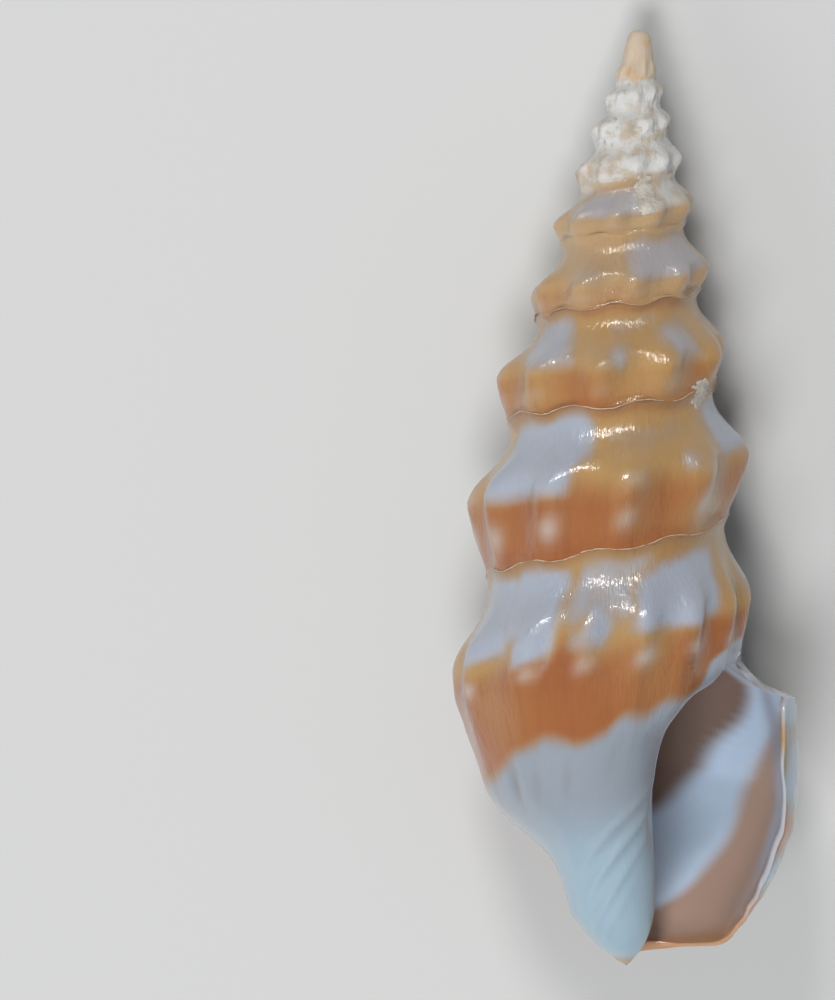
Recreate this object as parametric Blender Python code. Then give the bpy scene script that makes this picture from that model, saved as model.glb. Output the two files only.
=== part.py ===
"""Shell of the sea snail Splendrillia laeta: a tall ribbed spire of about ten whorls, a long
body whorl with a flared thin lip, and an open aperture whose cavity runs back round the pillar.

The shell is one closed solid. Its surface is drawn first standing on its canal, with the apex
at the top, in a frame whose Z is the coiling axis. Turns are counted backwards from the lip.
It is then laid on its back, aperture up, as it rests on a table. Dimensions are millimetres.
"""

import bmesh
import bpy
import numpy as np
from mathutils import Matrix

# Overall
MM = 0.001
HEIGHT = 20.0
WHORLS = 10.2
LIP_ANGLE = -15.0

# Resting pose: tipped so that the back of the body whorl and the ribs of the spire touch,
# with the highest points worn to small flat spots
TIP = 8.0
FLAT_DEPTH = 0.11

# Suture: turns back from the lip, depth below the apex, radius. Below 0 it runs on unseen
# over the body whorl, where the next whorl would have been laid.
SUTURE = (
    (-1, 16.30, 4.27), (-0.85, 16.20, 3.93), (-0.71, 15.90, 3.46), (-0.46, 15.28, 2.82),
    (-0.21, 13.89, 2.95), (-0.1, 13.46, 2.97), (-0.05, 13.25, 2.99), (0, 13.08, 3.03),
    (0.05, 12.90, 2.95), (0.17, 12.46, 2.73), (0.29, 12.22, 2.61), (0.45, 12.01, 2.54),
    (0.6, 11.67, 2.52), (0.79, 11.00, 2.54), (1.04, 10.13, 2.52), (1.29, 9.27, 2.41),
    (1.54, 8.50, 2.29), (1.79, 7.93, 2.20), (2.04, 7.39, 2.09), (2.54, 6.28, 1.82),
    (3.04, 5.38, 1.62), (3.54, 4.64, 1.41), (4.04, 4.00, 1.24), (4.54, 3.46, 1.09),
    (5.04, 2.93, 0.96), (5.54, 2.46, 0.83), (6.04, 2.05, 0.73), (6.54, 1.73, 0.62),
    (7.04, 1.43, 0.53), (7.54, 1.18, 0.46), (8.04, 0.90, 0.38), (8.54, 0.64, 0.31),
    (8.8, 0.43, 0.24), (9, 0.21, 0.15), (9.2, 0.00, 0.00),
)
# Shoulder, where the rib tips stand: turns back from the lip, depth below the apex, radius
SHOULDER = (
    (0, 13.96, 4.33), (0.08, 14.06, 4.05), (0.17, 14.23, 3.72), (0.29, 14.27, 3.46),
    (0.42, 14.14, 3.27), (0.54, 13.90, 3.16), (0.79, 12.65, 3.14), (1.04, 11.90, 3.14),
    (1.54, 10.30, 3.06), (2.04, 8.87, 2.91), (2.54, 7.63, 2.61), (3.04, 6.67, 2.33),
    (3.54, 5.80, 2.03), (4.04, 4.95, 1.80), (4.54, 4.30, 1.60), (5.04, 3.59, 1.41),
    (5.54, 3.12, 1.22), (6.04, 2.65, 1.07), (6.54, 2.22, 0.92), (7.04, 1.88, 0.79),
    (7.54, 1.54, 0.68), (8.04, 1.24, 0.58), (8.54, 0.98, 0.47), (9.04, 0.64, 0.36),
    (9.2, 0.36, 0.32), (9.7, 0.15, 0.24), (10.2, 0.00, 0.00),
)
# Lower profile of the body whorl, canal and pillar at some turns back from the lip: depth
# below the apex and radius from the middle of the canal. Past 1 it is the wall inside.
BASE = {
    0: ((16.30, 4.27), (16.77, 4.17), (17.09, 4.00), (17.63, 3.72), (18.16, 3.36),
        (18.69, 2.92), (19.12, 2.52), (19.40, 2.22), (19.53, 1.90), (19.63, 1.45),
        (19.70, 1.05), (19.76, 0.68)),
    0.15: ((16.20, 3.93), (16.76, 3.77), (17.33, 3.47), (17.90, 3.03), (18.45, 2.52),
           (18.89, 2.03), (19.23, 1.62), (19.44, 1.32), (19.61, 1.07), (19.74, 0.68)),
    0.29: ((15.90, 3.46), (16.52, 3.27), (17.12, 2.95), (17.68, 2.52), (18.23, 2.01),
           (18.68, 1.62), (19.12, 1.32), (19.40, 1.15), (19.61, 1.00), (19.74, 0.68)),
    0.42: ((15.49, 3.10), (16.13, 2.95), (16.71, 2.69), (17.20, 2.35), (17.63, 1.92),
           (17.99, 1.56), (18.37, 1.32), (18.80, 1.15), (19.23, 0.98), (19.55, 0.81),
           (19.72, 0.68)),
    0.54: ((14.98, 2.93), (15.81, 2.65), (16.43, 2.48), (16.77, 2.29), (17.09, 1.97),
           (17.35, 1.67), (17.63, 1.37), (17.95, 1.20), (18.27, 1.11), (18.91, 1.03),
           (19.23, 0.88), (19.55, 0.68), (19.87, 0.38)),
    0.79: ((13.89, 2.95), (14.53, 2.76), (14.96, 2.59), (15.49, 2.35), (16.02, 2.07),
           (16.56, 1.75), (17.09, 1.45), (17.63, 1.22), (18.16, 1.09), (18.91, 0.98),
           (19.34, 0.81), (19.66, 0.60), (19.91, 0.34)),
    0.9: ((13.46, 2.97), (13.89, 2.91), (14.34, 2.65), (14.89, 2.16), (15.55, 1.86),
          (16.19, 1.65), (17.09, 1.32), (17.63, 1.15), (18.16, 1.05), (18.91, 0.94),
          (19.34, 0.79), (19.66, 0.58), (19.91, 0.34)),
    0.95: ((13.25, 2.99), (13.50, 2.95), (13.78, 2.80), (14.02, 2.39), (14.34, 1.99),
           (14.89, 1.60), (15.55, 1.41), (16.19, 1.28), (17.09, 1.18), (18.16, 1.03),
           (18.91, 0.90), (19.34, 0.75), (19.66, 0.56), (19.91, 0.32)),
    1: ((13.08, 3.03), (13.29, 2.97), (13.50, 2.73), (13.78, 2.44), (14.02, 2.03),
        (14.34, 1.73), (14.89, 1.39), (15.55, 1.22), (16.19, 1.13), (17.09, 1.05),
        (18.16, 0.90), (18.97, 0.71), (19.55, 0.51), (19.89, 0.32)),
    1.1: ((12.71, 2.86), (12.95, 2.73), (13.25, 2.39), (13.67, 1.97), (14.21, 1.60),
          (14.89, 1.28), (15.60, 1.13), (16.34, 1.05), (17.09, 0.96), (18.16, 0.81),
          (18.91, 0.66), (19.44, 0.51), (19.83, 0.32)),
    1.29: ((12.22, 2.61), (12.52, 2.41), (12.86, 2.09), (13.35, 1.71), (13.99, 1.39),
           (14.74, 1.15), (15.49, 1.03), (16.34, 0.94), (17.31, 0.83), (18.16, 0.73),
           (19.02, 0.60), (19.49, 0.49), (19.72, 0.36)),
    1.45: ((12.01, 2.54), (12.35, 2.31), (12.73, 1.97), (13.25, 1.60), (13.89, 1.28),
           (14.64, 1.07), (15.49, 0.94), (16.34, 0.85), (17.31, 0.77), (18.16, 0.71),
           (19.02, 0.60), (19.61, 0.47)),
    1.6: ((11.64, 2.52), (12.01, 2.22), (12.39, 1.88), (12.86, 1.54), (13.46, 1.24),
          (14.21, 1.03), (14.96, 0.90), (15.81, 0.81), (16.66, 0.75), (17.52, 0.68),
          (18.16, 0.62)),
}
# The canal leans toward the lip: depth below the apex, sideways shift of its middle
BEND = (
    (12.82, 0.00), (13.67, 0.00), (14.96, 0.06), (16.24, 0.19), (18.16, 0.56),
    (19.23, 0.80), (20.02, 0.94),
)
CANAL_TIP = (0.97, 0.0, 0.0)

# Profile of a whorl: share of the way from suture to shoulder, then from shoulder to the
# suture below, with the share of the radius gained and lost
RAMP = ((0, 0), (0.18, -0.06), (0.33, -0.01), (0.5, 0.2), (0.65, 0.5), (0.8, 0.8), (0.9, 0.93), (1, 1))
LIP_RAMP = ((0, 0), (0.3, 0.05), (0.6, 0.2), (0.85, 0.45), (0.95, 0.82), (1, 1))
WALL = ((0, 0), (0.1, 0.04), (0.25, 0.16), (0.45, 0.33), (0.65, 0.56), (0.85, 0.82), (1, 1))
SHOULDER_SHARE = 0.55
BODY_BULGE = 0.07

# Growth lines: how far the lip stands back (in turns) across the whorl, then down the base
SINUS = ((0, 0), (0.1, 0.035), (0.25, 0.06), (0.38, 0.045), (0.52, 0), (0.6, -0.012), (0.8, -0.012), (1, 0))
SINUS_FADE = 0.1
CANAL = ((0, -1 / 45), (0.3, -0.02), (0.55, -0.01), (0.7, 0.01), (0.82, 0.05), (0.92, 0.11), (1, 0.18))
INSERT_SHIFT = 1 / 45

# Ribs: where each stands (turns back from the lip), their height and their reach
RIBS_AT = (
    0.222, 0.294, 0.378, 0.46, 0.542, 0.622, 0.717, 0.784, 0.853, 0.917, 0.98, 1.042, 1.115,
    1.19, 1.29, 1.383, 1.46, 1.542, 1.636, 1.725, 1.822, 1.93, 2.042,
)
RIB_PITCH = 0.105
RIB_HEIGHT = (
    (0, 0), (0.12, 0), (0.22, 0.05), (0.54, 0.075), (0.8, 0.08), (1.04, 0.1), (2, 0.12),
    (5, 0.12), (7, 0.1), (8.2, 0.07), (8.8, 0), (10.2, 0),
)
RIB_REACH = ((0, 0), (0.2, 0.08), (0.4, 0.5), (0.55, 1), (0.7, 0.8), (0.85, 0.5), (1, 0.3))
RIB_REACH_BASE = ((0, 0.3), (0.15, 0.12), (0.35, 0), (1, 0))

# Wall of the last part whorl and the cavity behind it
LIP_THICK = 0.17
WALL_THICK = 0.42
CAVITY_TURNS = 0.6
CANAL_FLOOR = 0.75

# Mesh density
PER_TURN = 45
SIDE_ROWS = 6
BASE_ROWS = 12


def curve(x, points):
    """Value at x of the smooth line through the points, with no overshoot between them."""
    table = np.asarray(points, float)
    xs, ys = table[:, 0], table[:, 1]
    step = np.diff(xs)
    slope = np.diff(ys) / step
    ends = np.empty(len(xs))
    ends[0], ends[-1] = slope[0], slope[-1]
    both = slope[:-1] * slope[1:] > 0
    w1 = 2 * step[1:] + step[:-1]
    w2 = step[1:] + 2 * step[:-1]
    safe_a = np.where(both, slope[:-1], 1)
    safe_b = np.where(both, slope[1:], 1)
    ends[1:-1] = np.where(both, (w1 + w2) / (w1 / safe_a + w2 / safe_b), 0)
    x = np.clip(np.asarray(x, float), xs[0], xs[-1])
    i = np.clip(np.searchsorted(xs, x, side="right") - 1, 0, len(xs) - 2)
    h = step[i]
    t = (x - xs[i]) / h
    return (
        ys[i] * (1 + 2 * t) * (1 - t) ** 2
        + ends[i] * h * t * (1 - t) ** 2
        + ys[i + 1] * t**2 * (3 - 2 * t)
        + ends[i + 1] * h * t**2 * (t - 1)
    )


def columns(table, *wanted):
    """Some columns of a table of rows, as pairs with its first one."""
    return [[(row[0], row[i]) for row in table] for i in wanted]


SUTURE_DEPTH, SUTURE_RADIUS = columns(SUTURE, 1, 2)
SHOULDER_DEPTH, SHOULDER_RADIUS = columns(SHOULDER, 1, 2)


def rib_crest(turn):
    """1 on a rib and 0 midway between two."""
    first = RIBS_AT[0] - 0.08
    last = RIBS_AT[-1]
    more = [last + RIB_PITCH * (i + 1) for i in range(90)]
    places = np.array([first, *RIBS_AT, *more])
    phase = np.interp(turn, places, np.arange(len(places)))
    return (0.5 + 0.5 * np.cos(2 * np.pi * phase)) ** 1.2


def eased(x):
    """0 below 0, 1 above 1, smooth between."""
    x = np.clip(x, 0, 1)
    return x * x * (3 - 2 * x)


def growth_line(turn, share):
    """How far (in turns) the growth line through the top of a column stands back."""
    return curve(share, SINUS) * np.exp(-turn / SINUS_FADE) - INSERT_SHIFT * share


def side_profile(turn, share, grown, relief=1.0):
    """Depth and radius on the whorl between two sutures. Ribs follow the growth lines."""
    top_d, top_r = curve(turn, SUTURE_DEPTH), curve(turn, SUTURE_RADIUS)
    low_d, low_r = curve(turn - 1, SUTURE_DEPTH), curve(turn - 1, SUTURE_RADIUS)
    mid_d, mid_r = curve(turn, SHOULDER_DEPTH), curve(turn, SHOULDER_RADIUS)
    up = np.clip(share / SHOULDER_SHARE, 0, 1)
    down = np.clip((share - SHOULDER_SHARE) / (1 - SHOULDER_SHARE), 0, 1)
    depth = np.where(share < SHOULDER_SHARE, top_d + (mid_d - top_d) * up, mid_d + (low_d - mid_d) * down)
    near_lip = np.exp(-((turn / 0.1) ** 2))
    ramp = curve(up, RAMP) * (1 - near_lip) + curve(up, LIP_RAMP) * near_lip
    wall = mid_r + (low_r - mid_r) * curve(down, WALL)
    body = turn < 1.05
    if body.any():
        found = lower_profile(turn[body], down[body], base=False)
        mix = eased((turn[body] - 0.85) / 0.2)
        depth[body] = np.where(down[body] > 0, found[0] * (1 - mix) + depth[body] * mix, depth[body])
        wall[body] = found[1] * (1 - mix) + wall[body] * mix
    radius = np.where(share < SHOULDER_SHARE, top_r + (mid_r - top_r) * ramp, wall)
    rib = curve(turn, RIB_HEIGHT) * curve(share, RIB_REACH)
    return depth, radius * (1 - rib * (1 - relief * rib_crest(grown)))


def key_point(key, share, base):
    """Depth and radius on one of the BASE profiles, from its top or from the shoulder."""
    points = np.asarray(BASE[key], float)
    above = 0
    if key <= 1:
        shoulder = np.array([curve(key, SHOULDER_DEPTH), curve(key, SHOULDER_RADIUS)])
        middle = (shoulder + points[0]) / 2 + [0, BODY_BULGE]
        points = np.vstack([shoulder, middle, points])
        above = 2
    run = np.r_[0, np.cumsum(np.hypot(*np.diff(points, axis=0).T))]
    start = run[above]
    at = start + (run[-1] - start) * share if base else start * share
    return curve(at, np.c_[run, points[:, 0]]), curve(at, np.c_[run, points[:, 1]])


def lower_profile(turn, share, base):
    """Depth and radius between the BASE profiles, below the suture line or just above it."""
    keys = [key for key in sorted(BASE) if base or key <= 1]
    depth = np.empty_like(turn)
    radius = np.empty_like(turn)
    for value in np.unique(share):
        here = share == value
        found = [key_point(key, value, base) for key in keys]
        depth[here] = curve(turn[here], [(k, f[0]) for k, f in zip(keys, found)])
        radius[here] = curve(turn[here], [(k, f[1]) for k, f in zip(keys, found)])
    return depth, radius


def base_profile(turn, share, grown, relief=1.0):
    """Depth and radius below the suture line, on the body whorl, canal and pillar."""
    depth, radius = lower_profile(turn, share, base=True)
    rib = curve(turn, RIB_HEIGHT) * curve(share, RIB_REACH_BASE) * (turn < 1)
    return depth, radius * (1 - rib * (1 - relief * rib_crest(grown)))


def placed(turn, depth, radius):
    """Upright positions from the turn, the depth and the radius."""
    angle = np.radians(LIP_ANGLE) + 2 * np.pi * turn
    return np.stack(
        [radius * np.cos(angle) + curve(depth, BEND), radius * np.sin(angle), HEIGHT - depth],
        axis=-1,
    )


def shell_mesh(per_turn, side_rows, base_rows):
    """Vertices and faces of the whole closed surface."""
    shift = round(INSERT_SHIFT * per_turn)
    last = round(WHORLS * per_turn)
    cavity = round(CAVITY_TURNS * per_turn)
    side_share = np.linspace(0, 1, side_rows + 1)
    base_share = np.r_[0.03, np.linspace(0.09, 1, base_rows - 1)]
    vertices = []

    def add(points):
        """Puts rows of points in the mesh and gives their numbers."""
        points = np.asarray(points).reshape(-1, 3)
        start = sum(map(len, vertices))
        vertices.append(points)
        return np.arange(start, start + len(points))

    # Outside, between the sutures. Each column's last point is a later column's first one.
    turn = np.arange(last + 1) / per_turn
    grid_n, grid_a = np.meshgrid(turn, side_share[:-1], indexing="ij")
    angle_n = grid_n + growth_line(grid_n, grid_a)
    points = placed(angle_n, *side_profile(angle_n, grid_a, grid_n))
    pole = add([[0, 0, HEIGHT]])[0]
    side = np.full((last + 1, side_rows + 1), pole)
    near_apex = turn >= WHORLS - 1
    for i in range(last):
        start = 1 if near_apex[i] else 0
        side[i, start:side_rows] = add(points[i, start:])
    # Below the last suture line: body whorl, canal and pillar, then the wall inside
    base_last = per_turn + shift + cavity
    base_turn = np.arange(base_last + 1) / per_turn
    fade = np.clip(1 - (base_turn - 1 - INSERT_SHIFT) / CAVITY_TURNS, 0, 1)
    skew = curve(base_share, CANAL)
    first = -INSERT_SHIFT
    grid_n = base_turn[:, None] + first + (skew - first)[None, :] * fade[:, None]
    grid_b = np.broadcast_to(base_share, grid_n.shape)
    grown = np.broadcast_to(base_turn[:, None], grid_n.shape)
    base = add(placed(grid_n, *base_profile(grid_n, grid_b, grown))).reshape(grid_n.shape)
    # Where a whorl's lower edge is not the top of a later one, it runs on into the base
    edge_turn = turn[: per_turn + shift] - INSERT_SHIFT
    edge = side_profile(edge_turn, np.ones_like(edge_turn), turn[: per_turn + shift])
    side[: per_turn + shift, side_rows] = add(placed(edge_turn, *edge))
    side[per_turn + shift :, side_rows] = side[: last + 1 - per_turn - shift, 0]
    return vertices, side, base, grid_n, base_share, side_share, shift, cavity, add


def lip_and_cavity(side, base, base_share, side_share, shift, cavity, per_turn, add):
    """The inner face of the last part whorl, from the lip back to where the cavity ends."""
    count = len(side_share) - 1 + len(base_share)
    inner = np.empty((cavity + 1, count + 1), int)
    for i in range(cavity + 1):
        turn = i / per_turn
        fade = 1 - i / cavity
        side_n = turn + curve(side_share, SINUS) * np.exp(-turn / SINUS_FADE)
        side_n = side_n - INSERT_SHIFT * side_share * fade
        outer_side = np.stack(side_profile(side_n, side_share, side_n, relief=0.0))
        skew = -INSERT_SHIFT + (curve(base_share, CANAL) + INSERT_SHIFT) * fade
        base_n = turn + skew + INSERT_SHIFT * (1 - fade)
        reach = 1 - (1 - CANAL_FLOOR) * (1 - fade)
        outer_base = np.stack(base_profile(base_n, base_share * reach, base_n, relief=0.0))
        outer = np.concatenate([outer_side, outer_base], axis=1)
        outer_n = np.concatenate([side_n, base_n])
        partner = base_share[0] + (1 - base_share[0]) * np.linspace(0, 1, count + 1) ** 1.5
        first = -INSERT_SHIFT
        wall_n = turn + 1 + INSERT_SHIFT + first + (curve(partner, CANAL) - first) * fade
        wall = np.stack(base_profile(wall_n, partner, wall_n))
        gap = np.hypot(*(wall - outer))
        thick = LIP_THICK + (WALL_THICK - LIP_THICK) * min(1, turn / 0.3) ** 0.8
        across = np.clip(thick / np.maximum(gap, 1e-6), 0, 0.7)
        along = np.linspace(0, 1, count + 1)
        ends = np.clip(1 - along / 0.09, 0, 1) ** 1.5 + np.clip((along - 0.9) / 0.1, 0, 1) ** 1.5
        across = across + (1 - across) * np.clip(ends, 0, 1)
        depth, radius = outer + (wall - outer) * across
        mixed_n = outer_n + (wall_n - 1 - outer_n) * across
        inner[i, 0] = base[i + per_turn + shift, 0]
        inner[i, -1] = base[i + per_turn + shift, -1]
        inner[i, 1:-1] = add(placed(mixed_n, depth, radius)[1:-1])
    return inner


def sheet(grid, flip=False):
    """Quads of a grid of vertex numbers, with collapsed corners dropped."""
    faces = []
    for i in range(len(grid) - 1):
        for j in range(grid.shape[1] - 1):
            corners = [grid[i, j], grid[i, j + 1], grid[i + 1, j + 1], grid[i + 1, j]]
            kept = list(dict.fromkeys(int(c) for c in corners))
            if len(kept) > 2:
                faces.append(kept[::-1] if flip else kept)
    return faces


def strip(one, two):
    """Triangles between two lines of vertices that share both ends."""
    faces = []
    i = j = 0
    while i < len(one) - 1 or j < len(two) - 1:
        ahead = (i + 1) / (len(one) - 1) if i < len(one) - 1 else 9
        behind = (j + 1) / (len(two) - 1) if j < len(two) - 1 else 9
        if ahead <= behind:
            corners = [one[i], one[i + 1], two[j]]
            i += 1
        else:
            corners = [one[i], two[j + 1], two[j]]
            j += 1
        kept = list(dict.fromkeys(int(c) for c in corners))
        if len(kept) == 3:
            faces.append(kept)
    return faces


def upright_shell(per_turn=PER_TURN, side_rows=SIDE_ROWS, base_rows=BASE_ROWS):
    """Vertices and faces of the shell standing on its canal."""
    parts = shell_mesh(per_turn, side_rows, base_rows)
    vertices, side, base, _, base_share, side_share, shift, cavity, add = parts
    inner = lip_and_cavity(
        side, base, base_share, side_share, shift, cavity, per_turn, add
    )
    tip = add([CANAL_TIP])[0]
    reach = per_turn + shift
    faces = sheet(side)
    faces += sheet(np.c_[side[: reach + 1, -1], base[: reach + 1]])
    faces += sheet(base[reach:])
    faces += sheet(inner, flip=True)
    rim = np.r_[side[0], base[0]]
    faces += sheet(np.stack([inner[0], rim]))
    faces += strip(list(inner[-1]), list(base[-1]))
    ring = base[: reach + 1, -1]
    faces += [[int(ring[i]), int(tip), int(ring[i + 1])] for i in range(reach)]
    faces.append([int(ring[reach]), int(tip), int(ring[0])])
    return np.concatenate(vertices), faces


def laid_down(points):
    """The upright shell on its back: aperture up, apex away, lip to the right."""
    flat = np.stack([points[:, 0], points[:, 2] - HEIGHT / 2, -points[:, 1]], axis=-1)
    return flat @ np.array(Matrix.Rotation(-np.radians(TIP), 3, "X")).T


def worn_flat(body):
    """Takes the lowest points off down to one level, and closes each cut with a flat face."""
    lowest = min(vertex.co.z for vertex in body.verts)
    geometry = [*body.verts, *body.edges, *body.faces]
    bmesh.ops.bisect_plane(
        body,
        geom=geometry,
        dist=1e-8,
        plane_co=(0, 0, lowest + FLAT_DEPTH * MM),
        plane_no=(0, 0, -1),
        clear_outer=True,
    )
    bmesh.ops.holes_fill(body, edges=[edge for edge in body.edges if edge.is_boundary], sides=0)


def set_on_floor(body):
    """Moves the middle of the object's foot print to the origin and its base to the floor."""
    places = np.array([vertex.co for vertex in body.verts])
    low, high = places.min(axis=0), places.max(axis=0)
    middle = (low + high) / 2
    bmesh.ops.translate(body, verts=body.verts, vec=(-middle[0], -middle[1], -low[2]))


def shell_material():
    material = bpy.data.materials.new("shell porcelain")
    material.use_nodes = True
    shader = material.node_tree.nodes["Principled BSDF"]
    shader.inputs["Base Color"].default_value = (0.5, 0.3, 0.15, 1)
    shader.inputs["Roughness"].default_value = 0.3
    return material


def main():
    for obj in list(bpy.data.objects):
        bpy.data.objects.remove(obj)
    points, faces = upright_shell()
    points = laid_down(points)
    mesh = bpy.data.meshes.new("shell")
    mesh.from_pydata((points * MM).tolist(), [], faces)
    body = bmesh.new()
    body.from_mesh(mesh)
    worn_flat(body)
    set_on_floor(body)
    bmesh.ops.recalc_face_normals(body, faces=body.faces)
    if body.calc_volume(signed=True) < 0:
        bmesh.ops.reverse_faces(body, faces=body.faces)
    body.to_mesh(mesh)
    body.free()
    for polygon in mesh.polygons:
        polygon.use_smooth = True
    shell = bpy.data.objects.new("shell", mesh)
    mesh.materials.append(shell_material())
    bpy.context.scene.collection.objects.link(shell)


main()
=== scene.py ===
# %% [markdown]
# # A ribbed sea snail shell, lying on a table with its aperture up
#
# The real thing is one shell, grown as a tube that winds down round an axis and widens as it
# goes. A snail adds a strip of shell along its lip, turn after turn, so every place on the shell
# can be named by two numbers: how many turns back from the lip it was laid, and how far down the
# whorl it lies, from the suture above (0) to the suture below (1), then on to the canal tip (2).
# The shape, its ribs and its markings are all written in those two numbers here.

import math

import bpy
import numpy as np
from mathutils import Matrix, Vector


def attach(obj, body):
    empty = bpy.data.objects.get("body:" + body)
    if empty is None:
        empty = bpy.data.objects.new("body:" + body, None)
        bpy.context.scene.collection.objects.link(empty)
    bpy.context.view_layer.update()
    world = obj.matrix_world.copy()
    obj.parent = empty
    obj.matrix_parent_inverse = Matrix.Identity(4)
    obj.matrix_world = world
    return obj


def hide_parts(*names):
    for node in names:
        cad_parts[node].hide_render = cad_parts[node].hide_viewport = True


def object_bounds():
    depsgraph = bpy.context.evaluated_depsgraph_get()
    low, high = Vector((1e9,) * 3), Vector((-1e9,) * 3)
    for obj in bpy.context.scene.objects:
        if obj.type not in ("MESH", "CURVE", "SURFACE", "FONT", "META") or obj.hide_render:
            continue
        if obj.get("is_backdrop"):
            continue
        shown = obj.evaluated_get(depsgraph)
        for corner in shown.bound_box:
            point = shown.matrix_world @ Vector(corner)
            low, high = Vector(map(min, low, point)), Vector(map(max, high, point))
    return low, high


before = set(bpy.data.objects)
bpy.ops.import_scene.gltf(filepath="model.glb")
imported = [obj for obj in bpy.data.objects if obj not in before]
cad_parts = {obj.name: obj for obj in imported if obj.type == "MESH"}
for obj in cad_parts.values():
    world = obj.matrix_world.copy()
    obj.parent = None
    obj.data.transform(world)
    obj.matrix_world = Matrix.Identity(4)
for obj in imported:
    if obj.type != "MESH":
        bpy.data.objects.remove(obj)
solid_low, solid_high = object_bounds()
MM = 0.001
print("solid model, mm:", [round((b - a) / MM, 2) for a, b in zip(solid_low, solid_high)])

# %% [markdown]
# ## The measured curves
#
# The rule of growth is close to a cone, but a real shell strays from it: the last whorls are
# slimmer, and the lip flares. So the rule is written as a few curves of the turn: where the
# suture runs, where the shoulder with the rib tips stands, and the profile of the last whorl
# below its suture line. The solid model was built from the same curves; only the tip's dome and
# the ribs of the first whorls are drawn more finely here.

# %% Growth curves, in millimetres below the apex and from the axis
HEIGHT = 20.0
WHORLS = 10.2
LIP_ANGLE = -15.0
# Turns back from the lip, depth below the apex, distance from the axis
SUTURE = (
    (-1, 16.3, 4.27), (-0.85, 16.2, 3.93), (-0.71, 15.9, 3.46), (-0.46, 15.28, 2.82),
    (-0.21, 13.89, 2.95), (-0.1, 13.46, 2.97), (-0.05, 13.25, 2.99), (0, 13.08, 3.03),
    (0.05, 12.9, 2.95), (0.17, 12.46, 2.73), (0.29, 12.22, 2.61), (0.45, 12.01, 2.54),
    (0.6, 11.67, 2.52), (0.79, 11, 2.54), (1.04, 10.13, 2.52), (1.29, 9.27, 2.41),
    (1.54, 8.5, 2.29), (1.79, 7.93, 2.2), (2.04, 7.39, 2.09), (2.54, 6.28, 1.82),
    (3.04, 5.38, 1.62), (3.54, 4.64, 1.41), (4.04, 4, 1.24), (4.54, 3.46, 1.09),
    (5.04, 2.93, 0.96), (5.54, 2.46, 0.83), (6.04, 2.05, 0.73), (6.54, 1.73, 0.62),
    (7.04, 1.43, 0.53), (7.54, 1.18, 0.46), (8.04, 0.9, 0.38), (8.54, 0.64, 0.31),
    (8.8, 0.43, 0.24), (9, 0.21, 0.15), (9.2, 0, 0),
)
SHOULDER = (
    (0, 13.96, 4.33), (0.08, 14.06, 4.05), (0.17, 14.23, 3.72), (0.29, 14.27, 3.46),
    (0.42, 14.14, 3.27), (0.54, 13.9, 3.16), (0.79, 12.65, 3.14), (1.04, 11.9, 3.14),
    (1.54, 10.3, 3.06), (2.04, 8.87, 2.91), (2.54, 7.63, 2.61), (3.04, 6.67, 2.33),
    (3.54, 5.8, 2.03), (4.04, 4.95, 1.8), (4.54, 4.3, 1.6), (5.04, 3.59, 1.41),
    (5.54, 3.12, 1.22), (6.04, 2.65, 1.07), (6.54, 2.22, 0.92), (7.04, 1.88, 0.79),
    (7.54, 1.54, 0.68), (8.04, 1.24, 0.58), (8.54, 0.98, 0.47), (9.04, 0.64, 0.36),
    (9.2, 0.36, 0.32), (9.7, 0.15, 0.24), (10.2, 0, 0),
)
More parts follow.
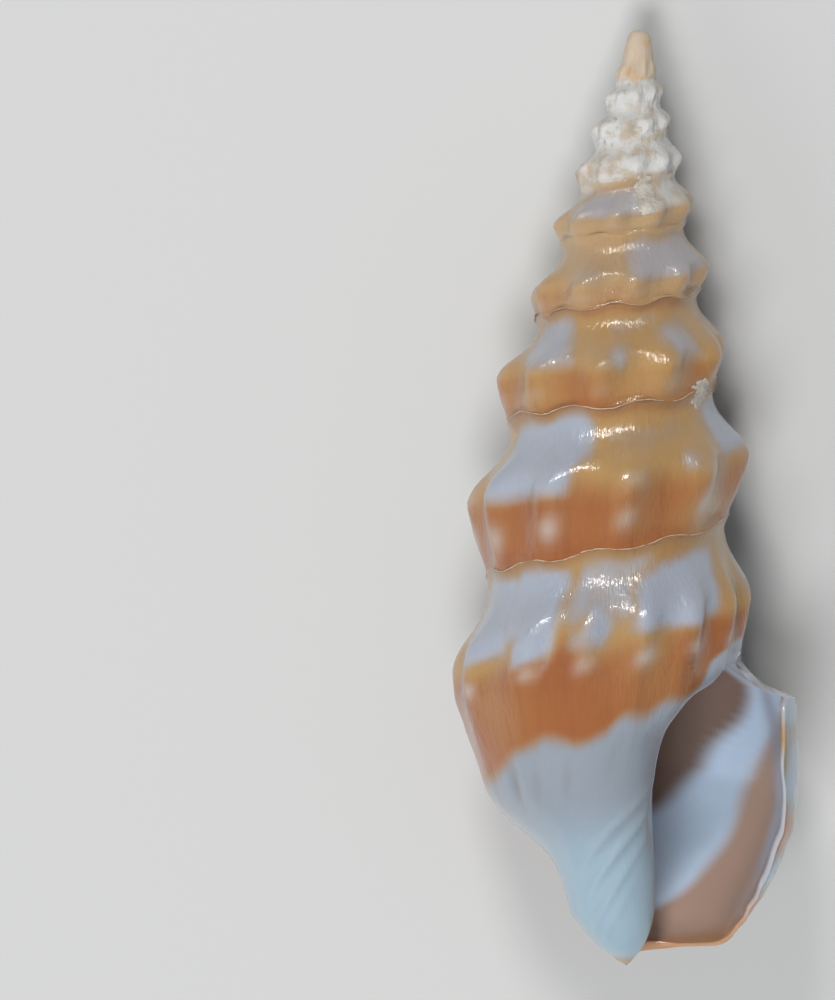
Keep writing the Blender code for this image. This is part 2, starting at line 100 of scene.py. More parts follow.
# At some turns, depth and distance down the wall from the suture line to the canal tip
BASE = {
    0: ((16.3, 4.27), (16.77, 4.17), (17.09, 4), (17.63, 3.72), (18.16, 3.36), (18.69, 2.92),
        (19.12, 2.52), (19.4, 2.22), (19.53, 1.9), (19.63, 1.45), (19.7, 1.05), (19.76, 0.68)),
    0.15: ((16.2, 3.93), (16.76, 3.77), (17.33, 3.47), (17.9, 3.03), (18.45, 2.52), (18.89, 2.03),
        (19.23, 1.62), (19.44, 1.32), (19.61, 1.07), (19.74, 0.68)),
    0.29: ((15.9, 3.46), (16.52, 3.27), (17.12, 2.95), (17.68, 2.52), (18.23, 2.01), (18.68, 1.62),
        (19.12, 1.32), (19.4, 1.15), (19.61, 1), (19.74, 0.68)),
    0.42: ((15.49, 3.1), (16.13, 2.95), (16.71, 2.69), (17.2, 2.35), (17.63, 1.92), (17.99, 1.56),
        (18.37, 1.32), (18.8, 1.15), (19.23, 0.98), (19.55, 0.81), (19.72, 0.68)),
    0.54: ((14.98, 2.93), (15.81, 2.65), (16.43, 2.48), (16.77, 2.29), (17.09, 1.97), (17.35, 1.67),
        (17.63, 1.37), (17.95, 1.2), (18.27, 1.11), (18.91, 1.03), (19.23, 0.88), (19.55, 0.68),
        (19.87, 0.38)),
    0.79: ((13.89, 2.95), (14.53, 2.76), (14.96, 2.59), (15.49, 2.35), (16.02, 2.07), (16.56, 1.75),
        (17.09, 1.45), (17.63, 1.22), (18.16, 1.09), (18.91, 0.98), (19.34, 0.81), (19.66, 0.6),
        (19.91, 0.34)),
    0.9: ((13.46, 2.97), (13.89, 2.91), (14.34, 2.65), (14.89, 2.16), (15.55, 1.86), (16.19, 1.65),
        (17.09, 1.32), (17.63, 1.15), (18.16, 1.05), (18.91, 0.94), (19.34, 0.79), (19.66, 0.58),
        (19.91, 0.34)),
    0.95: ((13.25, 2.99), (13.5, 2.95), (13.78, 2.8), (14.02, 2.39), (14.34, 1.99), (14.89, 1.6),
        (15.55, 1.41), (16.19, 1.28), (17.09, 1.18), (18.16, 1.03), (18.91, 0.9), (19.34, 0.75),
        (19.66, 0.56), (19.91, 0.32)),
    1: ((13.08, 3.03), (13.29, 2.97), (13.5, 2.73), (13.78, 2.44), (14.02, 2.03), (14.34, 1.73),
        (14.89, 1.39), (15.55, 1.22), (16.19, 1.13), (17.09, 1.05), (18.16, 0.9), (18.97, 0.71),
        (19.55, 0.51), (19.89, 0.32)),
    1.1: ((12.71, 2.86), (12.95, 2.73), (13.25, 2.39), (13.67, 1.97), (14.21, 1.6), (14.89, 1.28),
        (15.6, 1.13), (16.34, 1.05), (17.09, 0.96), (18.16, 0.81), (18.91, 0.66), (19.44, 0.51),
        (19.83, 0.32)),
    1.29: ((12.22, 2.61), (12.52, 2.41), (12.86, 2.09), (13.35, 1.71), (13.99, 1.39), (14.74, 1.15),
        (15.49, 1.03), (16.34, 0.94), (17.31, 0.83), (18.16, 0.73), (19.02, 0.6), (19.49, 0.49),
        (19.72, 0.36)),
    1.45: ((12.01, 2.54), (12.35, 2.31), (12.73, 1.97), (13.25, 1.6), (13.89, 1.28), (14.64, 1.07),
        (15.49, 0.94), (16.34, 0.85), (17.31, 0.77), (18.16, 0.71), (19.02, 0.6), (19.61, 0.47)),
    1.6: ((11.64, 2.52), (12.01, 2.22), (12.39, 1.88), (12.86, 1.54), (13.46, 1.24), (14.21, 1.03),
        (14.96, 0.9), (15.81, 0.81), (16.66, 0.75), (17.52, 0.68), (18.16, 0.62)),
}
# The dome of the first turn, as its radius at each depth
TIP_DOME = (
    (0, 0), (0.02, 0.1), (0.05, 0.16), (0.1, 0.205), (0.2, 0.25), (0.4, 0.29), (0.63, 0.33),
    (0.84, 0.42), (1, 0.47), (1.3, 0.56),
)
# How far the axis bends aside at each depth, and at the tip of the canal
BEND = (
    (12.82, 0), (13.67, 0), (14.96, 0.06), (16.24, 0.19), (18.16, 0.56),
    (19.23, 0.8), (20.02, 0.94),
)
CANAL_TIP = 0.97

print("growth curves:", len(SUTURE), "points on the suture and", len(BASE), "profiles of the base")

# %% Smooth curves through the measured points
def curve(x, points):
    """Value at x of the smooth line through the points, with no overshoot between them."""
    table = np.asarray(points, float)
    xs, ys = table[:, 0], table[:, 1]
    step = np.diff(xs)
    slope = np.diff(ys) / step
    ends = np.empty(len(xs))
    ends[0], ends[-1] = slope[0], slope[-1]
    both = slope[:-1] * slope[1:] > 0
    w1 = 2 * step[1:] + step[:-1]
    w2 = step[1:] + 2 * step[:-1]
    safe_a = np.where(both, slope[:-1], 1)
    safe_b = np.where(both, slope[1:], 1)
    ends[1:-1] = np.where(both, (w1 + w2) / (w1 / safe_a + w2 / safe_b), 0)
    x = np.clip(np.asarray(x, float), xs[0], xs[-1])
    i = np.clip(np.searchsorted(xs, x, side="right") - 1, 0, len(xs) - 2)
    h = step[i]
    t = (x - xs[i]) / h
    return (
        ys[i] * (1 + 2 * t) * (1 - t) ** 2
        + ends[i] * h * t * (1 - t) ** 2
        + ys[i + 1] * t**2 * (3 - 2 * t)
        + ends[i + 1] * h * t**2 * (t - 1)
    )


def eased(x):
    """0 below 0, 1 above 1, smooth between."""
    x = np.clip(x, 0, 1)
    return x * x * (3 - 2 * x)


def bell(value, middle, half):
    """1 at the middle, 1/e at the half width, and 0 farther out."""
    return np.exp(-(((value - middle) / half) ** 2))


def pairs(table, column):
    """The first and one other column of a table, as points for curve."""
    return [(row[0], row[column]) for row in table]


SUTURE_DEPTH, SUTURE_RADIUS = pairs(SUTURE, 1), pairs(SUTURE, 2)
SHOULDER_DEPTH, SHOULDER_RADIUS = pairs(SHOULDER, 1), pairs(SHOULDER, 2)
print("suture at the lip, mm below the apex:", round(float(curve(0, SUTURE_DEPTH)), 2))

# %% [markdown]
# ## One whorl's profile
#
# Going down a whorl, the wall first slopes out as a ramp, turns over at the shoulder and then
# falls back in to the next suture. Each is a share of the way between two of the curves above,
# so that one small curve gives the ramp's hollow and one gives the wall's bulge, and both shrink
# with the whorls. Past the last suture line the profile comes from the measured BASE lines.

# %% The small curves of a profile
RAMP = ((0, 0), (0.18, -0.06), (0.33, -0.01), (0.5, 0.2), (0.65, 0.5), (0.8, 0.8), (0.9, 0.93), (1, 1))
LIP_RAMP = ((0, 0), (0.3, 0.05), (0.6, 0.2), (0.85, 0.45), (0.95, 0.82), (1, 1))
LIP_RAMP_REACH = 0.1
WALL = ((0, 0), (0.1, 0.04), (0.25, 0.16), (0.45, 0.33), (0.65, 0.56), (0.85, 0.82), (1, 1))
SHOULDER_SHARE = 0.55
BODY_BULGE = 0.07
BODY_TURNS, BODY_BLEND = 0.85, 0.2
DOME_DEPTH, DOME_BLEND, DOME_TURNS = 1.15, 0.6, 6
# Rib height as a part of the radius, by the turn, and how much of it there is down the whorl
RIB_HEIGHT = (
    (0, 0), (0.12, 0), (0.22, 0.05), (0.54, 0.075), (0.8, 0.08), (1.04, 0.1), (2, 0.12),
    (5, 0.13), (7, 0.13), (8.2, 0.12), (8.9, 0.1), (9.4, 0), (10.2, 0),
)
RIB_REACH = ((0, 0), (0.2, 0.08), (0.4, 0.5), (0.55, 1), (0.7, 0.8), (0.85, 0.5), (1, 0.3))
RIB_REACH_BASE = ((0, 0.3), (0.15, 0.12), (0.35, 0), (1, 0))
# The notch in the lip, in turns, and how soon the growth lines behind it run straight again
SINUS = (
    (0, 0), (0.1, 0.035), (0.25, 0.06), (0.38, 0.045), (0.52, 0), (0.6, -0.012), (0.8, -0.012), (1, 0),
)
SINUS_FADE = 0.1
INSERT_SHIFT = 1 / 45
CANAL = (
    (0, -INSERT_SHIFT), (0.3, -0.02), (0.55, -0.01), (0.7, 0.01), (0.82, 0.05), (0.92, 0.11), (1, 0.18),
)

# %% Depth, radius and rib strength on the side of a whorl
def growth_line(turn, share):
    """How far (in turns) the growth line through the top of a column stands back."""
    return curve(share, SINUS) * np.exp(-turn / SINUS_FADE) - INSERT_SHIFT * share


def side_profile(turn, share):
    """Depth, radius and rib strength on the whorl between two sutures."""
    top_d, top_r = curve(turn, SUTURE_DEPTH), curve(turn, SUTURE_RADIUS)
    low_d, low_r = curve(turn - 1, SUTURE_DEPTH), curve(turn - 1, SUTURE_RADIUS)
    mid_d, mid_r = curve(turn, SHOULDER_DEPTH), curve(turn, SHOULDER_RADIUS)
    up = np.clip(share / SHOULDER_SHARE, 0, 1)
    down = np.clip((share - SHOULDER_SHARE) / (1 - SHOULDER_SHARE), 0, 1)
    on_ramp = share < SHOULDER_SHARE
    depth = np.where(on_ramp, top_d + (mid_d - top_d) * up, mid_d + (low_d - mid_d) * down)
    near_lip = bell(turn, 0, LIP_RAMP_REACH)
    ramp = curve(up, RAMP) * (1 - near_lip) + curve(up, LIP_RAMP) * near_lip
    wall = mid_r + (low_r - mid_r) * curve(down, WALL)
    body = turn < BODY_TURNS + BODY_BLEND
    if body.any():
        found = lower_profile(turn[body], down[body], base=False)
        mix = eased((turn[body] - BODY_TURNS) / BODY_BLEND)
        blended = found[0] * (1 - mix) + depth[body] * mix
        depth[body] = np.where(down[body] > 0, blended, depth[body])
        wall[body] = found[1] * (1 - mix) + wall[body] * mix
    radius = np.where(on_ramp, top_r + (mid_r - top_r) * ramp, wall)
    dome = eased((DOME_DEPTH - depth) / DOME_BLEND) * (turn > DOME_TURNS)
    radius = radius + (curve(depth, TIP_DOME) - radius) * dome
    return depth, radius, curve(turn, RIB_HEIGHT) * curve(share, RIB_REACH)

# %% Depth, radius and rib strength on the base, read from a fine table
def key_point(key, share, base):
    """Depth and radius on one of the BASE profiles, from its top or from the shoulder."""
    points = np.asarray(BASE[key], float)
    above = 0
    if key <= 1:
        shoulder = np.array([curve(key, SHOULDER_DEPTH), curve(key, SHOULDER_RADIUS)])
        middle = (shoulder + points[0]) / 2 + [0, BODY_BULGE]
        points = np.vstack([shoulder, middle, points])
        above = 2
    run = np.r_[0, np.cumsum(np.hypot(*np.diff(points, axis=0).T))]
    start = run[above]
    at = start + (run[-1] - start) * share if base else start * share
    return curve(at, np.c_[run, points[:, 0]]), curve(at, np.c_[run, points[:, 1]])


TABLE_TURNS = np.linspace(-0.05, 1.65, 681)
TABLE_SHARES = np.linspace(0, 1, 241)


def profile_table(base):
    """Depth and radius between the BASE profiles, at every turn and share of a fine table."""
    keys = [key for key in sorted(BASE) if base or key <= 1]
    found = np.array([[key_point(key, share, base) for key in keys] for share in TABLE_SHARES])
    lines = [[curve(TABLE_TURNS, np.c_[keys, row[:, part]]) for row in found] for part in (0, 1)]
    return np.array(lines)


PROFILE_TABLES = {base: profile_table(base) for base in (True, False)}


def table_place(steps, count):
    """The row of a table and the way to the next row, kept just short of the last one."""
    steps = np.clip(steps, 0, count - 1.001)
    row = steps.astype(int)
    return row, steps - row


def lower_profile(turn, share, base):
    """Depth and radius below the suture line, or just above it, read from the fine table."""
    spacing = TABLE_TURNS[1] - TABLE_TURNS[0]
    i, u = table_place((turn - TABLE_TURNS[0]) / spacing, len(TABLE_TURNS))
    j, v = table_place(share * (len(TABLE_SHARES) - 1), len(TABLE_SHARES))
    table = PROFILE_TABLES[base]
    one = table[:, j, i] * (1 - u) + table[:, j, i + 1] * u
    two = table[:, j + 1, i] * (1 - u) + table[:, j + 1, i + 1] * u
    return one * (1 - v) + two * v


def base_profile(turn, share):
    """Depth, radius and rib strength below the suture line, on body whorl, canal and pillar."""
    depth, radius = lower_profile(turn, share, base=True)
    return depth, radius, curve(turn, RIB_HEIGHT) * curve(share, RIB_REACH_BASE) * (turn < 1)


FRONT_TURN = 0.79
front_depth, front_radius, _ = side_profile(np.array([FRONT_TURN]), np.array([SHOULDER_SHARE]))
print("shoulder at the front: depth", front_depth.round(2), "radius", front_radius.round(2))

# %% [markdown]
# ## The strip before it is wound
#
# Unwound, the shell's surface is one long strip. It is built here as a plain grid whose points
# hold their place on the shell as attributes: the turn, the depth, the radius and so on. Each
# column's last point is the first point of a column one turn later, so the whorls are joined
# along the suture. Below the last suture line come the base, the canal and the pillar.

# %% Points and faces of the strip
PER_TURN = 225
SIDE_ROWS = 22
BASE_ROWS = 76
SHIFT = round(INSERT_SHIFT * PER_TURN)
CAVITY_TURNS = 0.6
CANAL_FLOOR = 0.75
RAMP_CLEARANCE = 0.08
LIP_THICK = 0.17
# How much of the lip's thickness is left down the lip
LIP_THIN = ((0, 0.8), (0.9, 0.8), (1.25, 0.5), (1.8, 0.4), (2, 0.4))
WALL_THICK = 0.42
# Turns of the ribs seen in the two pictures; farther up they follow at an even pitch
RIBS_AT = (
    0.222, 0.294, 0.378, 0.46, 0.542, 0.622, 0.717, 0.784, 0.853, 0.917, 0.98, 1.042, 1.115,
    1.19, 1.29, 1.383, 1.46, 1.542, 1.636, 1.725, 1.822, 1.93, 2.042,
)
RIB_PITCH, MORE_RIBS = 0.105, 90
LIP_RIB = RIBS_AT[0] - 0.08
RIB_PLACES = np.array([LIP_RIB, *RIBS_AT, *(RIBS_AT[-1] + RIB_PITCH * np.arange(1, MORE_RIBS + 1))])
BASE_SPREAD = ((0, 0), (0.3, 0.4), (0.85, 0.9), (1, 1))
INNER_SIDE = 0.564

side_share = np.linspace(0, 1, SIDE_ROWS + 1)
base_share = curve(np.linspace(1 / BASE_ROWS, 1, BASE_ROWS), BASE_SPREAD)
row_share = np.r_[side_share, 1 + base_share]
# The rows of the inner face crowd together above the sinus and spread out below it
inner_share = np.r_[INNER_SIDE * side_share, INNER_SIDE + (2 - INNER_SIDE) * base_share]
points = []
faces = []
corner_places = []


def add_points(turn, depth, radius, rib=0.0, rib_turn=0.0, share=0.5, zone=0.0):
    """Puts points in the strip and gives their numbers, in the shape of the turn array."""
    turn = np.asarray(turn, float)
    rows = np.broadcast_arrays(turn, depth, radius, rib, rib_turn, share, zone)
    start = sum(len(block) for block in points)
    points.append(np.stack([row.ravel() for row in rows], axis=1))
    return np.arange(start, start + turn.size).reshape(turn.shape)


def add_sheet(numbers, turn, share, zone, flip=False):
    """Quads of a grid of point numbers. Each corner keeps its own turn, share and zone."""
    for i in range(len(numbers) - 1):
        for j in range(numbers.shape[1] - 1):
            corners = ((i, j), (i, j + 1), (i + 1, j + 1), (i + 1, j))
            kept = {}
            for c in corners:
                kept.setdefault(int(numbers[c]), (turn[c], share[c], zone))
            if len(kept) > 2:
                order = list(kept.items())
                order = order[::-1] if flip else order
                faces.append([number for number, _ in order])
                corner_places.extend(place for _, place in order)


last = round(WHORLS * PER_TURN)
column_turn = np.arange(last + 1) / PER_TURN
grid_turn, grid_share = np.meshgrid(column_turn, side_share[:-1], indexing="ij")
wound_turn = grid_turn + growth_line(grid_turn, grid_share)
pole = add_points([0.0], 0.0, 0.0)[0]
side = np.full((last + 1, SIDE_ROWS + 1), pole)
outside = add_points(wound_turn, *side_profile(wound_turn, grid_share), grid_turn, grid_share)
side[:, :SIDE_ROWS] = outside
side[column_turn >= WHORLS - 1, 0] = pole
side[last] = pole

reach = PER_TURN + SHIFT
cavity = round(CAVITY_TURNS * PER_TURN)
base_turn = np.arange(reach + cavity + 1) / PER_TURN
inward = np.clip(1 - (base_turn - 1 - INSERT_SHIFT) / CAVITY_TURNS, 0, 1)
base_skew = curve(base_share, CANAL) + INSERT_SHIFT
base_grid = base_turn[:, None] - INSERT_SHIFT + base_skew[None, :] * inward[:, None]
base_shares = np.broadcast_to(base_share, base_grid.shape)
base_columns = np.broadcast_to(base_turn[:, None], base_grid.shape)
base = add_points(base_grid, *base_profile(base_grid, base_shares), base_columns, 1 + base_shares)
edge_turn = column_turn[:reach] - INSERT_SHIFT
edge = side_profile(edge_turn, np.ones(reach))
side[:reach, SIDE_ROWS] = add_points(edge_turn, *edge, column_turn[:reach], 1.0)
side[reach:, SIDE_ROWS] = side[: last + 1 - reach, 0]
print("columns and rows of the side:", side.shape, "and of the base:", base.shape)

# %% [markdown]
# ## The inner face and the lip's edge
#
# A real shell is hollow. Its inside is seen only as far back as the light reaches, so an inner
# face is laid beside the outer one: thin at the lip, thicker farther in, and closed where nobody
# can look. Each column of it stands square between the outer wall and the wall of the whorl
# before, so the two faces never cross.

# %% The inner face of the last part whorl
THICKEN_OVER = 0.3
MOST_ACROSS = 0.7
CLOSE_TOP, CLOSE_TIP = 0.09, 0.1
RAMP_MIDDLE, RAMP_HALF = 0.34, 0.16


def inner_column(i):
    """Turn, depth and radius down the inner face, at one column back from the lip."""
    turn = i / PER_TURN
    fade = 1 - i / cavity
    notch = curve(side_share, SINUS) * np.exp(-turn / SINUS_FADE)
    side_n = turn + notch - INSERT_SHIFT * side_share * fade
    side_d, side_r, side_rib = side_profile(side_n, side_share)
    base_n = turn + base_skew * fade - INSERT_SHIFT * fade
    floor = 1 - (1 - CANAL_FLOOR) * (1 - fade)
    base_d, base_r, base_rib = base_profile(base_n, base_share * floor)
    outer_n = np.r_[side_n, base_n]
    outer = np.stack([np.r_[side_d, base_d], np.r_[side_r * (1 - side_rib), base_r * (1 - base_rib)]])
    along = inner_share / 2
    partner = base_share[0] + (1 - base_share[0]) * along**1.5
    wall_n = turn + 1 + (curve(partner, CANAL) + INSERT_SHIFT) * fade
    wall = np.stack(base_profile(wall_n, partner)[:2])
    gap = np.hypot(*(wall - outer))
    edge_thick = LIP_THICK * curve(inner_share, LIP_THIN)
    thick = edge_thick + (WALL_THICK - edge_thick) * min(1, turn / THICKEN_OVER) ** 0.8
    across = np.clip(thick / np.maximum(gap, 1e-6), 0, MOST_ACROSS)
    # At the suture and at the canal tip the inner face runs onto the wall
    top = np.clip(1 - along / CLOSE_TOP, 0, 1) ** 1.5
    end = np.clip((along - (1 - CLOSE_TIP)) / CLOSE_TIP, 0, 1) ** 1.5
    across = across + (1 - across) * np.clip(top + end, 0, 1)
    depth, radius = outer + (wall - outer) * across
    under = RAMP_CLEARANCE * bell(row_share, RAMP_MIDDLE, RAMP_HALF)
    depth, radius = depth + under, radius - 0.7 * under
    return outer_n + (wall_n - 1 - outer_n) * across, depth, radius


OUTSIDE, INSIDE = 0.0, 1.0
inner = np.empty((cavity + 1, len(row_share)), int)
for i in range(cavity + 1):
    inner[i] = add_points(*inner_column(i), share=row_share, zone=INSIDE)
inner[:, 0] = base[reach : reach + cavity + 1, 0]
inner[:, -1] = base[reach : reach + cavity + 1, -1]

side_places = np.meshgrid(column_turn, side_share, indexing="ij")
side_places[0] = side_places[0] + growth_line(*side_places)
add_sheet(side, *side_places, OUTSIDE)
below = np.c_[side[: reach + 1, -1], base[: reach + 1]]
below_turn = np.c_[column_turn[: reach + 1] - INSERT_SHIFT, base_grid[: reach + 1]]
add_sheet(below, below_turn, np.broadcast_to(row_share[SIDE_ROWS:], below.shape), OUTSIDE)
add_sheet(base[reach:], base_grid[reach:], 1 + base_shares[reach:], OUTSIDE)
inner_places = np.meshgrid(np.arange(cavity + 1) / PER_TURN, inner_share, indexing="ij")
add_sheet(inner, *inner_places, INSIDE, flip=True)
rim = np.stack([inner[0], np.r_[side[0], base[0]]])
add_sheet(rim, *(np.stack([place[0], place[0]]) for place in inner_places), INSIDE)


def close_cavity(one, two):
    """Triangles between the end of the inner face and the wall it meets, out of sight."""
    i = j = 0
    one_end, two_end = len(one) - 1, len(two) - 1
    while i < one_end or j < two_end:
        if j == two_end or (i < one_end and (i + 1) / one_end <= (j + 1) / two_end):
            corners = [one[i], one[i + 1], two[j]]
            i += 1
        else:
            corners = [one[i], two[j + 1], two[j]]
            j += 1
        if len(set(corners)) == 3:
            faces.append([int(c) for c in corners])
            corner_places.extend([(CAVITY_TURNS, 1.0, INSIDE)] * 3)


close_cavity(list(inner[-1]), list(base[-1]))
# A fan of triangles closes the tip of the canal
TIP_TURN = 0.8
tip = add_points([0.0], HEIGHT, 0.0)[0]
ring = [int(number) for number in base[: reach + 1, -1]]
for a, b in zip(ring, ring[1:] + ring[:1]):
    faces.append([a, int(tip), b])
    corner_places.extend([(TIP_TURN, 2.0, OUTSIDE)] * 3)
strip_points = np.concatenate(points)
corner_places = np.array(corner_places)
print("strip:", len(strip_points), "points and", len(faces), "faces")

# %% [markdown]
# ## Winding the strip with Geometry Nodes
#
# Winding is a rule that holds for every point alike: the turn gives an angle, the radius and the
# depth give the rest, and the ribs are a wave along the turn. That is what Geometry Nodes do
# well, and the sizes stay open as named inputs. The same tree lays the shell on its back and
# keeps it on the table: where a high spot would go below the surface it is worn flat.

# %% A helper for node trees
class Tree:
    """Adds nodes to a tree and links their sockets."""

    def __init__(self, tree):
        self.tree = tree

    def node(self, kind, settings=None, **inputs):
        made = self.tree.nodes.new(kind)
        for name, value in (settings or {}).items():
            setattr(made, name, value)
        for name, value in inputs.items():
            self.put(made, name.replace("_", " "), value)
        return made

    def put(self, node, name, value):
        socket = node.inputs[name]
        if isinstance(value, bpy.types.NodeSocket):
            self.tree.links.new(value, socket)
        else:
            socket.default_value = value

    def operate(self, kind, operation, values):
        made = self.node(kind, {"operation": operation})
        for i, value in enumerate(values):
            self.put(made, i, value)
        return made.outputs[0]

    def math(self, operation, *values):
        return self.operate("ShaderNodeMath", operation, values)

    def vector_math(self, operation, *values):
        return self.operate("ShaderNodeVectorMath", operation, values)

    def times(self, *values):
        return self.math("MULTIPLY", *values)

    def xyz(self, x, y, z=0.0):
        return self.node("ShaderNodeCombineXYZ", X=x, Y=y, Z=z).outputs[0]


def named_attribute(build, name):
    made = build.node("GeometryNodeInputNamedAttribute", {"data_type": "FLOAT"}, Name=name)
    return made.outputs[0]



def new_geometry_tree(name, sizes):
    """A Geometry Nodes tree with a mesh in, a mesh out and named sizes."""
    tree = bpy.data.node_groups.new(name, "GeometryNodeTree")
    tree.interface.new_socket("Geometry", in_out="INPUT", socket_type="NodeSocketGeometry")
    for label, value in sizes.items():
        kind = "NodeSocketInt" if isinstance(value, int) else "NodeSocketFloat"
        socket = tree.interface.new_socket(label, in_out="INPUT", socket_type=kind)
        socket.default_value = value
    tree.interface.new_socket("Geometry", in_out="OUTPUT", socket_type="NodeSocketGeometry")
    build = Tree(tree)
    return build, build.node("NodeGroupInput").outputs, build.node("NodeGroupOutput")


def end_tree(build, output, geometry, material):
    """Realizes what is instanced and gives it its material."""
    real = build.node("GeometryNodeRealizeInstances", Geometry=geometry)
    painted = build.node("GeometryNodeSetMaterial", Geometry=real.outputs[0], Material=material)
    build.put(output, "Geometry", painted.outputs[0])


def centred_noise(build, vector, scale, detail, size):
    """Noise of about plus or minus half the size."""
    noise = build.node("ShaderNodeTexNoise", Vector=vector, Scale=scale, Detail=detail)
    return build.times(build.math("SUBTRACT", noise.outputs[0], 0.5), size)

# %% The tree that winds the strip and lays it down
# Degrees that the shell is tipped, and millimetres to its place on the table
TIP = 8.0
SIDE_SHIFT, LIFT = -0.6545, 2.785
NO_LIMIT = -100.0
# How closely the unevenness and the lime grains follow one another
SLOW_PER_TURN, FINE_PER_TURN, FINE_PER_MM, GRAINS = 26.0, 95.0, 0.7, 7.0


def winding_tree(material):
    sizes = {
        "Lip angle": LIP_ANGLE, "Height": HEIGHT, "Rib strength": 1.0, "Rib sharpness": 1.35,
        "Unevenness": 0.05, "Growth lines": 0.013, "Crust": 0.06, "Tip": TIP,
    }
    build, given, output = new_geometry_tree("wind the strip", sizes)
    turn, depth = named_attribute(build, "turn"), named_attribute(build, "depth")

    def unevenness(across, along, detail, size):
        """Noise drawn out along the growth lines."""
        place = build.xyz(build.times(turn, across), build.times(depth, along))
        return centred_noise(build, place, 1.0, detail, size)

    # The ribs are a wave along the turn, with sharp crests and wide hollows
    phase = build.times(named_attribute(build, "rib_count"), 2 * math.pi)
    wave = build.math("MULTIPLY_ADD", build.math("COSINE", phase), 0.5, 0.5)
    crest = build.math("POWER", build.math("MAXIMUM", wave, 0.0), given["Rib sharpness"])
    height = build.times(named_attribute(build, "rib"), given["Rib strength"])
    hollow = build.times(height, build.math("SUBTRACT", 1.0, crest))
    ribbed = build.times(named_attribute(build, "radius"), build.math("SUBTRACT", 1.0, hollow))
    # Slow and fine unevenness of the growing edge
    slow = unevenness(SLOW_PER_TURN, 1.0, 3.0, given["Unevenness"])
    fine = unevenness(FINE_PER_TURN, FINE_PER_MM, 2.0, given["Growth lines"])
    uneven = build.times(build.math("ADD", slow, fine), named_attribute(build, "uneven"))
    final = build.math("ADD", ribbed, build.math("ADD", uneven, named_attribute(build, "relief")))
    start = build.math("RADIANS", given["Lip angle"])
    angle = build.math("MULTIPLY_ADD", turn, 2 * math.pi, start)
    cosine, sine = build.math("COSINE", angle), build.math("SINE", angle)
    # A crust of lime grains on the first whorls
    grains = centred_noise(build, build.xyz(cosine, sine, depth), GRAINS, 3.0, given["Crust"])
    crust = build.times(build.math("MAXIMUM", grains, -0.01), named_attribute(build, "crust"))
    final = build.math("ADD", final, crust)
    x = build.math("ADD", build.times(final, cosine), named_attribute(build, "bend"))
    y = build.times(final, sine)
    half = build.times(given["Height"], 0.5)
    # Laid on its back: across stays across, the height points away and the front looks up
    laid = build.xyz(x, build.math("SUBTRACT", half, depth), build.times(y, -1.0))
    tipped = build.node("ShaderNodeVectorRotate", {"rotation_type": "X_AXIS"}, Vector=laid)
    build.put(tipped, "Angle", build.times(build.math("RADIANS", given["Tip"]), -1.0))
    moved = build.vector_math("ADD", tipped.outputs[0], (SIDE_SHIFT, 0.0, LIFT))
    on_table = build.vector_math("MAXIMUM", moved, (NO_LIMIT, NO_LIMIT, 0.0))
    metres = build.vector_math("MULTIPLY", on_table, (MM, MM, MM))
    wound = build.node("GeometryNodeSetPosition", Geometry=given["Geometry"], Position=metres)
    smooth = build.node("GeometryNodeSetShadeSmooth", Geometry=wound.outputs[0])
    end_tree(build, output, smooth.outputs[0], material)
    return build.tree


def placed(name, data):
    """A new object in the scene."""
    made = bpy.data.objects.new(name, data)
    bpy.context.scene.collection.objects.link(made)
    return made


def made_by_nodes(name, mesh, tree):
    """A plain mesh object from a mesh run through a Geometry Nodes tree."""
    start = placed(name + " start", mesh)
    start.modifiers.new("nodes", "NODES").node_group = tree
    graph = bpy.context.evaluated_depsgraph_get()
    grown = start.evaluated_get(graph)
    result = bpy.data.meshes.new_from_object(grown, preserve_all_data_layers=True, depsgraph=graph)
    bpy.data.objects.remove(start)
    made = placed(name, result)
    result.name = name
    triangles = sum(len(face.vertices) - 2 for face in result.polygons)
    print(name, len(result.vertices), "points", triangles, "triangles")
    return made

# %% [markdown]
# ## Small relief: scar, neck cords, folds and a chipped lip
#
# A shell grows by fits and starts, so it keeps small marks: a mended break with a raised edge, the
# cords on the neck that the snail's siphon side lays down, folds where a rib runs out on the
# base, a low hump behind the lip, and chips along the lip's thin edge. They are at most about a
# tenth of a millimetre high, so they are added here and left out of the solid model.

# %% Relief at each point of the strip
# Turn of the scar at each share, and turn, share and strength of each fold and of each neck cord
SCAR = ((0.3, 0.742), (0.38, 0.740), (0.55, 0.734), (0.73, 0.729), (0.85, 0.719), (0.97, 0.708))
FOLDS = (
    (0.610, 1.22, 0.3), (0.655, 1.25, 1.0), (0.694, 1.27, 0.4), (0.746, 1.28, 0.4), (0.822, 1.22, 0.2),
)
FOLD_LEAN = 0.12
CORDS = ((0.828, 1.50, 0.8), (0.825, 1.595, 1.0), (0.816, 1.70, 0.8), (0.80, 1.79, 0.4))
CORD_SLOPE = 1.2
SCAR_HEIGHT, FOLD_DEPTH, CORD_HEIGHT, LIP_HUMP = 0.04, 0.08, 0.09, 0.12
SUTURE_LEDGE, LEDGE_HOLLOW, SUTURE_WAVE = 0.03, 0.025, 0.06
# How much of the radius is left towards the canal tip, and how far the chips bite into the lip
NARROW_TIP = ((0, 1.0), (1.8, 1.0), (1.88, 0.93), (1.94, 0.8), (1.98, 0.62), (2, 0.5))
CHIPS = (
    (0, 0), (0.3, 0), (0.6, 0), (0.74, 0.001), (0.82, 0), (0.95, 0.001), (1.02, 0), (1.1, 0.001),
    (1.2, 0), (1.3, 0.002), (1.36, 0), (1.43, 0.006), (1.48, 0.001), (1.55, 0.009), (1.6, 0.002),
    (1.68, 0.009), (1.74, 0.001), (1.82, 0.008), (1.9, 0.001), (2, 0),
)
CHIP_REACH = 0.02


